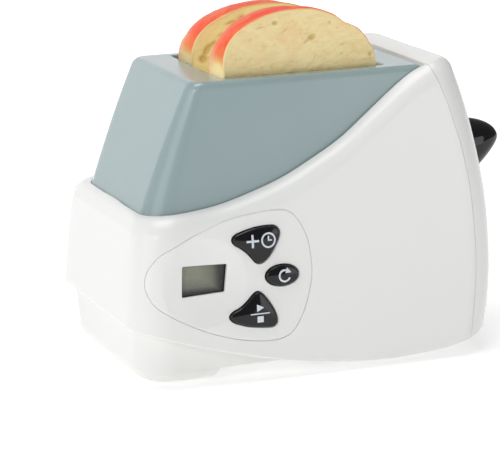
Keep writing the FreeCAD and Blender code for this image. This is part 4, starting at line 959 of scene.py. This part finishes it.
# ---------------------------------------------------- symbols on the buttons
def crown_height(button, u, w):
    """height of a button's face over the flat of the panel at (u, w)"""
    _o, c, q1, proud, crown = button
    d = q1 - c
    ang = np.arctan2(d[:, 1], d[:, 0])
    rad = np.hypot(d[:, 0], d[:, 1])
    order = np.argsort(ang)
    ang, rad = ang[order], rad[order]
    ang = np.concatenate([ang[-3:] - 2 * math.pi, ang, ang[:3] + 2 * math.pi])
    rad = np.concatenate([rad[-3:], rad, rad[:3]])
    a = np.arctan2(w - c[1], u - c[0])
    f = np.hypot(u - c[0], w - c[1]) / np.interp(a, ang, rad)
    return proud + crown * (1 - np.clip(f, 0, 1) ** 2)


def strip(name, button, path, half, body, lift=0.05, closed=False, across=4):
    """a printed stroke: a thin raised band along a path of (u, w), following the button's face"""
    P = np.array(path, float)
    n = len(P)
    half = np.broadcast_to(np.asarray(half, float), (n,))
    if closed:
        t = np.roll(P, -1, 0) - np.roll(P, 1, 0)
    else:
        t = np.gradient(P, axis=0)
    t /= np.linalg.norm(t, axis=1)[:, None]
    side = np.stack([-t[:, 1], t[:, 0]], 1)
    cols = []
    offs = np.linspace(-1, 1, across + 1)
    prof = [(-1.0, -0.18)] + [(k, lift if abs(k) < 0.99 else lift - 0.02) for k in offs] + [(1.0, -0.18)]
    for k, h in prof:
        q = P + side * (half * k)[:, None]
        cols.append(face_point(q[:, 0], q[:, 1], crown_height(button, q[:, 0], q[:, 1]) + h))
    V_ = np.stack(cols, 1).reshape(-1, 3)
    m = len(prof)
    faces = grid_faces(n, m, wrap_rows=closed, wrap_cols=False)
    if not closed:
        faces.append(tuple(range(m)))
        faces.append(tuple((n - 1) * m + k for k in range(m))[::-1])
    bottom = [(i * m, i * m + m - 1, ((i + 1) % n) * m + m - 1, ((i + 1) % n) * m) for i in range(n if closed else n - 1)]
    faces += [tuple(reversed(b)) for b in bottom]
    o = fix_normals(new_object(name, V_, faces))
    crisp(o, 40)
    paint(o, PRINT)
    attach(o, body)
    return o


def line(a, b, n=9):
    return np.linspace(np.array(a, float), np.array(b, float), n)


def arc(c, r, a0, a1, n=40):
    a = np.radians(np.linspace(a0, a1, n))
    return np.stack([c[0] + r * np.cos(a), c[1] + r * np.sin(a)], 1)


# plus and a small dial: adds time
bt, bd = buttons["add"], "add_button"
px, pw = -40.3, 54.3
strip("print_plus_across", bt, line((px - 2.5, pw), (px + 2.5, pw)), 0.42, bd)
strip("print_plus_up", bt, line((px, pw + 0.46), (px, pw + 2.5)), 0.42, bd)
strip("print_plus_down", bt, line((px, pw - 2.5), (px, pw - 0.46)), 0.42, bd)
cx, cw = -33.9, 54.2
strip("print_dial_ring", bt, arc((cx, cw), 2.65, 0, 360, 61)[:-1], 0.34, bd, closed=True)
strip("print_dial_hand", bt, line((cx, cw - 0.25), (cx, cw + 1.65)), 0.27, bd)
strip("print_dial_pointer", bt, line((cx + 0.3, cw), (cx + 1.4, cw)), 0.25, bd)
# arrow round a circle: back to the start
bt, bd = buttons["reset"], "reset_button"
cx, cw = -28.0, 39.9
strip("print_turn_arc", bt, arc((cx, cw), 2.15, 65, 338, 44), 0.36, bd)
tip = arc((cx, cw), 2.15, 66, 8, 10)
strip("print_turn_arrow", bt, line(tip[0] + (-0.15, 0.1), tip[0] + (1.75, -0.75), 9), np.linspace(1.15, 0.06, 9), bd, lift=0.055)
# play over stop, with a line between
bt, bd = buttons["start"], "start_button"
cx, cw = -38.7, 26.5
strip("print_line", bt, line((cx - 3.9, cw), (cx + 3.9, cw), 15), 0.22, bd)
strip("print_play", bt, line((cx - 1.25, cw + 2.25), (cx + 1.55, cw + 2.25), 13), np.linspace(1.45, 0.06, 13), bd)
strip("print_stop", bt, line((cx - 1.25, cw - 2.15), (cx + 1.25, cw - 2.15)), 1.2, bd)


# ------------------------------------------------------------- the display
def face_ring(name, outer, inner, n_front, n_back, lip=0.25):
    """frame between two outlines on the near face, with a soft front edge"""
    rows = [(outer, n_back), (outer, n_front), (inner, n_front), (inner, n_back)]
    o_n, i_n = outward(outer), outward(inner)
    rows = [(outer, n_back), (outer, n_front - lip), (outer - o_n * lip * 0.3, n_front - lip * 0.3), (outer - o_n * lip, n_front),
            (inner + i_n * lip, n_front), (inner + i_n * lip * 0.3, n_front - lip * 0.3), (inner, n_front - lip), (inner, n_back)]
    V_ = np.concatenate([face_point(q_[:, 0], q_[:, 1], n_) for q_, n_ in rows])
    return crisp(fix_normals(new_object(name, V_, grid_faces(len(rows), len(outer), wrap_rows=True))), 30)


def grown(outline, d):
    return outline + outward(outline) * d


LCD_GLASS, lt, lb = material("display_glass")
lv = coords(lt)
ls = node(lt, "ShaderNodeSeparateXYZ")
lt.links.new(lv, ls.inputs["Vector"])
# painted shade: the screen's grey-green darkens to near black towards its right and bottom edges, where the recess
# walls shade it
painted_shade_right = mapr(lt, ls.outputs["X"], 0.0, 1.0, -0.0612, -0.0519)
painted_shade_bottom = mapr(lt, ls.outputs["Z"], 1.0, 0.0, 0.0354, 0.0420)
shade = node(lt, "ShaderNodeMath", operation="MAXIMUM")
lt.links.new(painted_shade_right, shade.inputs[0])
lt.links.new(painted_shade_bottom, shade.inputs[1])
glass_tint_with_painted_shade = ramp(lt, shade.outputs[0], [(0.0, srgb(134, 137, 118)), (0.35, srgb(122, 124, 109)), (0.60, srgb(108, 110, 99)), (0.80, srgb(58, 59, 54)),
                                   (0.92, srgb(8, 9, 8))])
speck = noise(lt, lv, 900.0, 2.0, 0.5)
lt.links.new(mix(lt, 0.06, glass_tint_with_painted_shade, ramp(lt, speck, [(0.35, srgb(96, 100, 88)), (0.65, srgb(165, 167, 150))])), lb.inputs["Base Color"])
lt.links.new(mapr(lt, noise(lt, lv, 60.0, 3.0), 0.30, 0.42, 0.3, 0.7), lb.inputs["Roughness"])
lt.links.new(bump(lt, speck, 0.05, 0.00001), lb.inputs["Normal"])
lb.inputs["Coat Weight"].default_value = 0.25
lb.inputs["Coat Roughness"].default_value = 0.03

bezel = face_ring("display_bezel", grown(WINDOW_R, 1.3), grown(WINDOW_R, -0.08), -2.5, -3.45)
paint(bezel, SOUNDER)
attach(bezel, "toaster_body")
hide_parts("lcd_lens")
so = grown(WINDOW_R, 0.6)
sc_ = np.array((-59.6, 41.3))
rows = [face_point(so[:, 0], so[:, 1], -3.63), face_point(so[:, 0], so[:, 1], -3.30)]
for k_ in (0.0, 0.04, 0.10, 0.3, 0.6, 0.85):
    q_ = sc_ + (so - sc_) * (1 - k_)
    rows.append(face_point(q_[:, 0], q_[:, 1], -3.10 - 0.12 * max(0.0, 1 - k_ / 0.04)))
N_ = len(so)
V_ = np.vstack(rows + [face_point(sc_[0], sc_[1], -3.10)[None]])
faces_ = grid_faces(len(rows), N_) + [((len(rows) - 1) * N_ + i, (len(rows) - 1) * N_ + (i + 1) % N_, len(V_) - 1) for i in range(N_)]
faces_.append(tuple(range(N_))[::-1])
screen = crisp(fix_normals(new_object("display_screen", V_, faces_)), 30)
paint(screen, LCD_GLASS)
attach(screen, "toaster_body")
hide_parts("lcd_lens")


# ---------------------------------------------------------------- the knob
def build_knob():
    n = 96
    a = np.linspace(0, 2 * math.pi, n, endpoint=False)

    def section(t, inset=0.0):
        up_ = 74.3 + 9.5 * (1 - t ** 2.2) ** (1 / 2.2)
        dn = 74.3 - 19.4 * (1 - t ** 1.25) ** (1 / 1.25)
        hw = 8.5 * (1 - t ** 2.3) ** (1 / 2.3)
        c, h = (up_ + dn) / 2, (up_ - dn) / 2
        hw, h = max(hw - inset, 0.02), max(h - inset, 0.02)
        return np.stack([hw * np.cos(a), c + h * np.sin(a)], 1)

    rows = []

    def add(x, t, inset=0.0):
        s_ = section(t, inset)
        rows.append(np.column_stack([np.full(n, x), s_]))

    for f in (0.55, 0.3, 0.12):
        s_ = section(0.0, 1.1)
        c = s_.mean(0)
        rows.append(np.column_stack([np.full(n, 66.0), c + (s_ - c) * (1 - f)]))
    e = 1.1
    for k in range(0, 8):
        b = math.pi / 2 * k / 7
        add(66.0 + e * (1 - math.sin(b)), e * (1 - math.sin(b)) / 21.0, e * (1 - math.cos(b)))
    rows[3:] = rows[3:][::-1]
    rows[3:] = sorted(rows[3:], key=lambda r: r[0, 0])
    for k in range(1, 73):
        t = math.sin(math.pi / 2 * k / 73)
        if 21.0 * t > e:
            add(66.0 + 21.0 * t, t)
    rows.append(np.column_stack([np.full(n, 66.0 + 21.0 * 0.9997), section(0.9997)]))
    V_ = np.concatenate(rows)
    faces = grid_faces(len(rows), n)
    faces.append(tuple(range(n))[::-1])
    faces.append(tuple(range((len(rows) - 1) * n, len(rows) * n)))
    return crisp(fix_normals(new_object("lever_grip", V_, faces)), 50)


knob = build_knob()
paint(knob, BLACK)
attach(knob, "carriage")
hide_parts("lever_knob")

# --------------------------------------------------------------- the toast
FRONT_TOP = [(-42.7, 113.8), (-42.8, 118.6), (-41.7, 123.8), (-38.9, 128.3), (-35.6, 131.2), (-31.6, 133.5), (-26.6, 135.6), (-21.3, 137.0),
             (-16.2, 137.6), (-11.0, 137.65), (-6.6, 137.4), (-2.8, 136.6), (1.2, 135.2), (4.7, 133.4), (7.4, 131.4), (9.7, 130.3), (11.6, 129.4),
             (13.7, 127.9), (16.0, 125.4), (18.1, 122.2), (19.8, 118.9), (20.6, 115.5)]
REAR_TOP = [(-43.1, 112.5), (-43.2, 116.4), (-42.6, 120.2), (-40.9, 123.7), (-37.7, 127.1), (-33.3, 130.0), (-28.1, 132.3), (-22.7, 134.0),
            (-18.0, 134.9), (-13.0, 135.3), (-8.0, 135.3), (-3.0, 134.8), (1.5, 133.8), (5.6, 132.0), (8.6, 130.2), (11.0, 128.6), (13.4, 126.2),
            (15.4, 123.0), (17.0, 119.4), (18.0, 115.0)]


def vnoise(p, scale, seed, octaves=3, gain=0.5):
    """fractal noise about zero for an array of points"""
    out = np.zeros(len(p))
    amp = 1.0
    f = 1.0 / scale
    for k in range(octaves):
        off = (seed * 17.31 + k * 5.7, seed * 3.7 - k * 2.1, seed * 9.1 + k)
        out += amp * np.array([mnoise.noise((x * f + off[0], y * f + off[1], z * f + off[2])) for x, y, z in p])
        amp *= gain
        f *= 2.03
    return out


def slice_of_bread(name, top, y0, thick, taper, pits, seed, swell):
    xl, xr = top[0][0], top[-1][0]
    low = [(xr + 0.1, 108), (xr, 98), (xr - 0.3, 88), (xr - 1.2, 83.2), (xr - 3.6, 80.4), (xr - 8, 79.25), (-11, 79.03),
           (xl + 8, 79.25), (xl + 3.6, 80.4), (xl + 1.2, 83.2), (xl + 0.3, 88), (xl, 98), (xl - 0.1, 107)]
    ol = closed_curve(ccw(top + low), 340)
    ol[:, 1] = np.maximum(ol[:, 1], 79.02)
    nrm = outward(ol)
    N = len(ol)
    c = np.array([(xl + xr) / 2, 107.0])
    y1 = y0 + thick
    rows, kind, across = [], [], []
    e = 0.95

    def face_rows(y, inset, fs, k):
        q1 = ol - nrm * inset
        for f in fs:
            q = c + (q1 - c) * f
            rows.append(np.column_stack([q[:, 0], np.full(N, y), q[:, 1]]))
            kind.append(k)

    R = 58
    face_rows(y0, e, [j / R for j in range(2, R + 1)], 0.0)
    for j in range(1, 8):
        b = math.pi / 2 * j / 7
        q = ol - nrm * (e * (1 - math.sin(b)))
        rows.append(np.column_stack([q[:, 0], np.full(N, y0 + e * (1 - math.cos(b))), q[:, 1]]))
        kind.append(j / 7.0)
    f2 = 1.5
    fall = taper * np.clip(nrm[:, 1] * 1.7, 0, 1) * (1 - 0.5 * nrm[:, 1] ** 2)
    span = thick - e - f2
    for j in range(1, 27):
        s_ = j / 26.0
        q = ol - nrm * (fall * s_ ** 1.3 - 0.12 * math.sin(math.pi * min(1.0, s_ * 1.3)))[:, None]
        rows.append(np.column_stack([q[:, 0], np.full(N, y0 + e + span * s_), q[:, 1]]))
        kind.append(1.0)
    for j in range(1, 11):
        b = math.pi / 2 * j / 10
        q = ol - nrm * (fall + 0.1 + f2 * 0.8 * (1 - math.cos(b)))[:, None]
        rows.append(np.column_stack([q[:, 0], np.full(N, y1 - f2 + f2 * math.sin(b)), q[:, 1]]))
        kind.append(1.0 if j < 6 else 1.0 - (j - 5) / 5.0)
    q1 = ol - nrm * (fall + 0.1 + f2 * 0.8)[:, None]
    for j in range(R - 1, 1, -2):
        q = c + (q1 - c) * (j / R)
        rows.append(np.column_stack([q[:, 0], np.full(N, y1), q[:, 1]]))
        kind.append(0.0)
    V_ = np.concatenate(rows)
    K = np.repeat(np.array(kind), N)
    V_[:, 2] = np.maximum(V_[:, 2], 79.02)
    # the slice thickens away from the near face above the carriage's ribs
    V_[:, 1] += swell * np.clip((V_[:, 1] - y0 - e) / (thick - e), 0, 1) * smooth01((V_[:, 2] - 84.0) / 14.0)
    faces = grid_faces(len(rows), N)
    first, last = len(V_), len(V_) + 1
    V_ = np.vstack([V_, [[c[0], y0, c[1]], [c[0], y1, c[1]]]])
    K = np.append(K, [0.0, 0.0])
    faces += [(i, first, (i + 1) % N) for i in range(N)]
    b0 = (len(rows) - 1) * N
    faces += [(b0 + i, b0 + (i + 1) % N, last) for i in range(N)]

    # relief: open crumb on the faces, soft dents on the crust
    face_in = K < 0.35
    g = np.random.default_rng(seed)
    pit = np.zeros(len(V_))
    spots = list(pits)
    for _ in range(150):
        spots.append((g.uniform(xl + 3, xr - 3), g.uniform(108, 134), g.uniform(0.22, 0.75), g.uniform(0.16, 0.42), g.uniform(0, 70), g.uniform(0.1, 0.34)))
    for fx, fz, rx, rz, rot, deep in spots:
        r_ = math.radians(rot)
        dx, dz = V_[:, 0] - fx, V_[:, 2] - fz
        a_, b_ = (dx * math.cos(r_) + dz * math.sin(r_)) / rx, (-dx * math.sin(r_) + dz * math.cos(r_)) / rz
        d2 = a_ * a_ + b_ * b_
        pit = np.maximum(pit, deep * np.exp(-d2 * 1.1))
    st = V_.copy()
    ca, sa = math.cos(math.radians(24)), math.sin(math.radians(24))
    st[:, 0], st[:, 2] = V_[:, 0] * ca + V_[:, 2] * sa, (-V_[:, 0] * sa + V_[:, 2] * ca) * 2.6
    streak = vnoise(st, 5.0, seed, 4, 0.6)
    crumb = vnoise(V_, 1.5, seed + 3, 2, 0.5)
    near = V_[:, 1] < y0 + thick / 2
    sign = np.where(near, 1.0, -1.0)
    inner = np.clip(1 - K / 0.35, 0, 1)
    V_[:, 1] += sign * inner * (np.clip(0.16 + 0.16 * streak + 0.07 * crumb, 0, 0.5) + pit)
    out = V_[:, [0, 2]] - c
    out /= np.maximum(np.linalg.norm(out, axis=1), 1e-6)[:, None]
    crust = np.clip((K - 0.5) / 0.5, 0, 1)
    dent = vnoise(V_, 11.0, seed + 9, 3, 0.45) * 0.42 + vnoise(V_, 2.2, seed + 5, 2, 0.5) * 0.06
    dent = np.clip(dent, -0.5, 0.16) * crust
    V_[:, 0] += out[:, 0] * dent
    V_[:, 2] = np.maximum(V_[:, 2] + out[:, 1] * dent, 79.02)
    # clear of the slot's walls at every height of the carriage
    V_[:, 0] = np.clip(V_[:, 0], -43.2, 23.4)
    V_[:, 1] = np.maximum(V_[:, 1], -28.3)
    o = fix_normals(new_object(name, V_, faces))
    if len(o.data.vertices) == len(V_):
        attribute(o, "crust", K)
        attribute(o, "pit", np.clip(pit / 0.45, 0, 1) * inner)
    else:
        raise RuntimeError("slice vertices changed")
    return o


def bread_material(name, y0, thick, shift, painted_face_light):
    m, t, b = material(name)
    v = coords(t)
    sp = node(t, "ShaderNodeSeparateXYZ")
    t.links.new(v, sp.inputs["Vector"])
    crust, pit = named(t, "crust"), named(t, "pit")
    # crumb: pale yellow with tan streaks that rise to the right
    sv = coords(t, (1.0, 1.0, 2.4), (0.0, math.radians(24), 0.0))
    s1 = noise(t, sv, 95.0, 6.0, 0.62, 1.2)
    s2 = noise(t, sv, 330.0, 4.0, 0.6, 0.4)
    crumb = ramp(t, s1, [(0.30, srgb(226, 192, 124)), (0.42, srgb(236, 208, 146)), (0.52, srgb(241, 218, 160)), (0.64, srgb(245, 227, 172)),
                         (0.78, srgb(235, 223, 152))])
    crumb = mix(t, mapr(t, s2, 0.0, 0.45, 0.54, 0.74), crumb, srgb(222, 190, 122))
    # painted light: for the rear slice, the crumb of its near face is lightened towards pale yellow against the shade
    # the front slice casts on it
    front = mapr(t, sp.outputs["Y"], 1.0, 0.0, 0.001 * (y0 + 2.0), 0.001 * (y0 + 6.0))
    if painted_face_light:
        crumb = mix(t, mapr(t, front, 0.0, painted_face_light), crumb, srgb(255, 230, 150))
    blush = noise(t, v, 70.0, 3.0, 0.5, 0.8)
    crumb = mix(t, mapr(t, blush, 0.0, 0.55, 0.55, 0.72), crumb, srgb(240, 184, 128))
    crumb = mix(t, 0.35, crumb, srgb(255, 238, 186))
    # painted shade: the crumb is darker in the pits, in step with their depth
    crumb = mix(t, mapr(t, pit, 0.0, 0.62, 0.15, 0.95), crumb, srgb(196, 160, 78))
    # crust: red-orange above, fading through orange to pale yellow near the slot
    wob = noise(t, v, 110.0, 4.0, 0.6, 0.5)
    zz = node(t, "ShaderNodeMath", operation="MULTIPLY_ADD")
    t.links.new(wob, zz.inputs[0])
    zz.inputs[1].default_value = 0.0020
    t.links.new(sp.outputs["Z"], zz.inputs[2])
    height = mapr(t, zz.outputs[0], 0.0, 1.0, 0.1150 + shift, 0.1272 + shift)
    red = ramp(t, height, [(0.0, srgb(253, 232, 178)), (0.26, srgb(252, 225, 160)), (0.42, srgb(250, 178, 104)), (0.60, srgb(249, 122, 58)),
                           (1.0, srgb(250, 80, 40))])
    tone = noise(t, coords(t, (1.0, 2.2, 1.0)), 85.0, 5.0, 0.65, 1.0)
    mottle = node(t, "ShaderNodeMath", operation="MULTIPLY")
    t.links.new(mapr(t, tone, 0.0, 0.75, 0.48, 0.68), mottle.inputs[0])
    t.links.new(mapr(t, height, 0.0, 1.0, 0.36, 0.58), mottle.inputs[1])
    red = mix(t, mottle.outputs[0], red, srgb(250, 140, 76))
    over = mapr(t, sp.outputs["Y"], 0.0, 1.0, 0.001 * (y0 + 0.60 * thick), 0.001 * (y0 + 0.98 * thick))
    red = mix(t, over, red, mix(t, height, srgb(252, 214, 160), srgb(244, 130, 104)))
    rim = mix(t, mapr(t, sp.outputs["Z"], 0.0, 0.75, 0.122, 0.134), srgb(250, 226, 170), srgb(246, 176, 118))
    skin = mix(t, mapr(t, crust, 0.0, 1.0, 0.55, 0.86), rim, red)
    col = mix(t, mapr(t, crust, 0.0, 1.0, 0.10, 0.45), crumb, skin)
    t.links.new(col, b.inputs["Base Color"])
    t.links.new(mapr(t, s1, 0.42, 0.58, 0.3, 0.7), b.inputs["Roughness"])
    fine = noise(t, v, 1400.0, 4.0, 0.6)
    n1 = bump(t, fine, 0.35, 0.00005)
    t.links.new(bump(t, s2, 0.4, 0.00012, n1), b.inputs["Normal"])
    b.inputs["Specular IOR Level"].default_value = 0.22
    if not painted_face_light:
        # painted light: the pale lower end of the crust, shaded low in the slot, glows a little
        low = mapr(t, height, 0.26, 0.0, 0.10, 0.42)
        part = node(t, "ShaderNodeMath", operation="MULTIPLY")
        t.links.new(low, part.inputs[0])
        t.links.new(crust, part.inputs[1])
        t.links.new(col, b.inputs["Emission Color"])
        t.links.new(part.outputs[0], b.inputs["Emission Strength"])
    if painted_face_light:
        # painted light: the near face of the rear slice, shaded by the front slice, glows in its crumb colour
        t.links.new(crumb, b.inputs["Emission Color"])
        part = node(t, "ShaderNodeMath", operation="MULTIPLY")
        t.links.new(mapr(t, crust, 0.22, 0.0, 0.0, 0.5), part.inputs[0])
        t.links.new(front, part.inputs[1])
        t.links.new(part.outputs[0], b.inputs["Emission Strength"])
    return m


FRONT_PITS = [(-21.4, 132.8, 1.2, 0.7, 20, 0.7), (-27.2, 131.4, 2.4, 0.5, 8, 0.35), (1.3, 131.5, 0.7, 0.6, 0, 0.5), (-6.2, 126.3, 1.7, 1.0, 25, 0.75),
              (-8.2, 124.9, 1.8, 0.6, 35, 0.45), (18.3, 117.9, 0.9, 1.1, 0, 0.5), (-17.3, 129.6, 2.2, 0.5, 40, 0.35), (4.6, 129.2, 0.8, 0.5, 30, 0.3),
              (6.3, 122.3, 2.2, 0.5, 30, 0.22), (-0.9, 117.2, 2.4, 0.5, 20, 0.2), (-26.0, 123.0, 2.4, 0.5, 30, 0.22), (-32.0, 119.0, 2.0, 0.5, 40, 0.25)]
REAR_PITS = [(-21.9, 130.1, 1.6, 0.9, 30, 0.8), (-26.3, 128.6, 3.0, 0.8, 12, 0.6), (-36.4, 118.5, 2.6, 1.2, 55, 0.9), (-38.3, 115.0, 1.6, 1.6, 80, 0.9),
             (-34.2, 120.6, 2.0, 0.8, 45, 0.7), (-31.0, 124.0, 1.6, 0.6, 40, 0.4)]
for nm_, top_, y_, tp_, pits_, sd_, sw_, sh_, painted_face_light_, body_, node_ in (
        ("bread_front", FRONT_TOP, -28.0, 1.9, FRONT_PITS, 11, 1.7, 0.0, 0.0, "toast_front", "toast_slice_front"),
        ("bread_rear", REAR_TOP, 5.2, 2.1, REAR_PITS, 23, 2.6, -0.0010, 0.75, "toast_rear", "toast_slice_rear")):
    br = slice_of_bread(nm_, top_, y_, 14.5, tp_, pits_, sd_, sw_)
    paint(br, bread_material(nm_ + "_skin", y_, 14.5, sh_, painted_face_light_))
    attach(br, body_)
    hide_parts(node_)


# --------------------------------------------------------- carried-over nodes
KEEP = {
    "base_tray": WHITE_BASE, "foot_pads": RUBBER, "battery_door": WHITE_BASE, "battery_door_screw": STEEL,
    "case_screws": STEEL, "aa_battery_front": JACKET, "aa_battery_rear": JACKET, "battery_contacts": CONTACT,
    "keypad_mat": RUBBER, "timer_board": BOARD, "buzzer": SOUNDER, "board_screws": STEEL, "battery_wires": WIRE,
    "guide_rods": STEEL, "bread_carriage": INNER, "lift_spring": STEEL, "latch_hook": STEEL, "latch_pin": STEEL,
    "latch_spring": STEEL, "solenoid_coil": COPPER, "solenoid_plunger": STEEL, "lcd_module": SOUNDER,
}
for n_, m_ in KEEP.items():
    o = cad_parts[n_]
    o.data.materials.clear()
    o.data.materials.append(m_)

# ----------------------------------------------------- stage, light, camera
def quad(name, pts, mat):
    me = bpy.data.meshes.new(name)
    me.from_pydata(pts, [], [tuple(range(len(pts)))])
    o = bpy.data.objects.new(name, me)
    COLL.objects.link(o)
    o.data.materials.append(mat)
    return o


FLOOR, ft, fb = material("floor_paper")
fv = coords(ft)
fn = noise(ft, fv, 60.0, 4.0, 0.6)
ft.links.new(ramp(ft, fn, [(0.3, (0.93, 0.93, 0.93)), (0.7, (0.95, 0.95, 0.95))]), fb.inputs["Base Color"])
fb.inputs["Roughness"].default_value = 0.9
ft.links.new(bump(ft, fn, 0.05, 0.0002), fb.inputs["Normal"])
quad("floor", [(-4, -4, -0.0003), (4, -4, -0.0003), (4, 4, -0.0003), (-4, 4, -0.0003)], FLOOR)

bpy.context.scene.view_settings.view_transform = "Standard"

# strengths of the studio: plain world, brighter side of it, light table, softboxes (W)
LIGHT = {"world": 0.17, "sky": 0.32, "table": 0.35, "key": 1.9, "top": 4.6, "card": 1.7, "back": 4.2, "glint": 1.1}

world = bpy.data.worlds.new("studio")
bpy.context.scene.world = world
world.use_nodes = True
wt = world.node_tree
bg = wt.nodes["Background"]
bg.inputs["Color"].default_value = (1, 1, 1, 1)
bg.inputs["Strength"].default_value = LIGHT["world"]
sky = node(wt, "ShaderNodeBackground")
sky.inputs["Strength"].default_value = LIGHT["sky"]
wc = node(wt, "ShaderNodeTexCoord")
wd = node(wt, "ShaderNodeVectorMath", operation="DOT_PRODUCT")
wt.links.new(wc.outputs["Generated"], wd.inputs[0])
wd.inputs[1].default_value = (-0.57, 0.46, 0.68)
wt.links.new(mapr(wt, wd.outputs["Value"], 0.0, 1.0, -0.25, 1.0), sky.inputs["Color"])
both = node(wt, "ShaderNodeAddShader")
wt.links.new(bg.outputs[0], both.inputs[0])
wt.links.new(sky.outputs[0], both.inputs[1])
wt.links.new(both.outputs[0], wt.nodes["World Output"].inputs["Surface"])
fb.inputs["Emission Color"].default_value = (1, 1, 1, 1)
fl = node(ft, "ShaderNodeVectorMath", operation="LENGTH")
ft.links.new(fv, fl.inputs[0])
table_glow = mapr(ft, fl.outputs["Value"], LIGHT["table"], LIGHT["table"] + 0.30, 0.15, 0.75)
ft.links.new(table_glow, fb.inputs["Emission Strength"])


def area(name, loc, target, size, power, colour=(1, 1, 1), size_y=None):
    d = bpy.data.lights.new(name, "AREA")
    d.energy = power
    d.size = size
    d.color = colour
    if size_y:
        d.shape = "RECTANGLE"
        d.size_y = size_y
    o = bpy.data.objects.new(name, d)
    COLL.objects.link(o)
    o.location = loc
    v = Vector(target) - Vector(loc)
    o.rotation_euler = v.to_track_quat("-Z", "Y").to_euler()
    return o


area("key", (-1.05, -0.42, 0.36), (0, 0, 0.06), 0.70, LIGHT["key"], size_y=0.6)
area("top", (-0.10, 0.05, 1.08), (0, 0, 0.06), 0.75, LIGHT["top"], size_y=0.5)
area("card", (0.82, -1.12, 0.24), (0, 0, 0.06), 0.66, LIGHT["card"], size_y=0.46)
area("back", (0.05, 1.55, 0.42), (0, 0, 0.06), 2.7, LIGHT["back"], size_y=0.75)
area("glint", (-0.76, -0.70, 0.56), (0, 0, 0.08), 0.15, LIGHT["glint"])

cam_data = bpy.data.cameras.new("camera")
cam = bpy.data.objects.new("camera", cam_data)
COLL.objects.link(cam)
right = Vector((0.93045853, -0.36612854, -0.01402931))
up = Vector((0.09905999, 0.21451248, 0.97168488))
back = Vector((-0.35275211, -0.90550223, 0.23586365))
M = Matrix.Identity(4)
for i, v in enumerate((right, up, back)):
    for k in range(3):
        M[k][i] = v[k]
M.translation = Vector((-369.864, -893.334, 279.425)) * MM
cam.matrix_world = M
cam_data.sensor_fit = "HORIZONTAL"
cam_data.sensor_width = 36.0
cam_data.lens = 178.506
cam_data.clip_start = 0.05
cam_data.clip_end = 20.0
bpy.context.scene.camera = cam

bpy.context.view_layer.update()
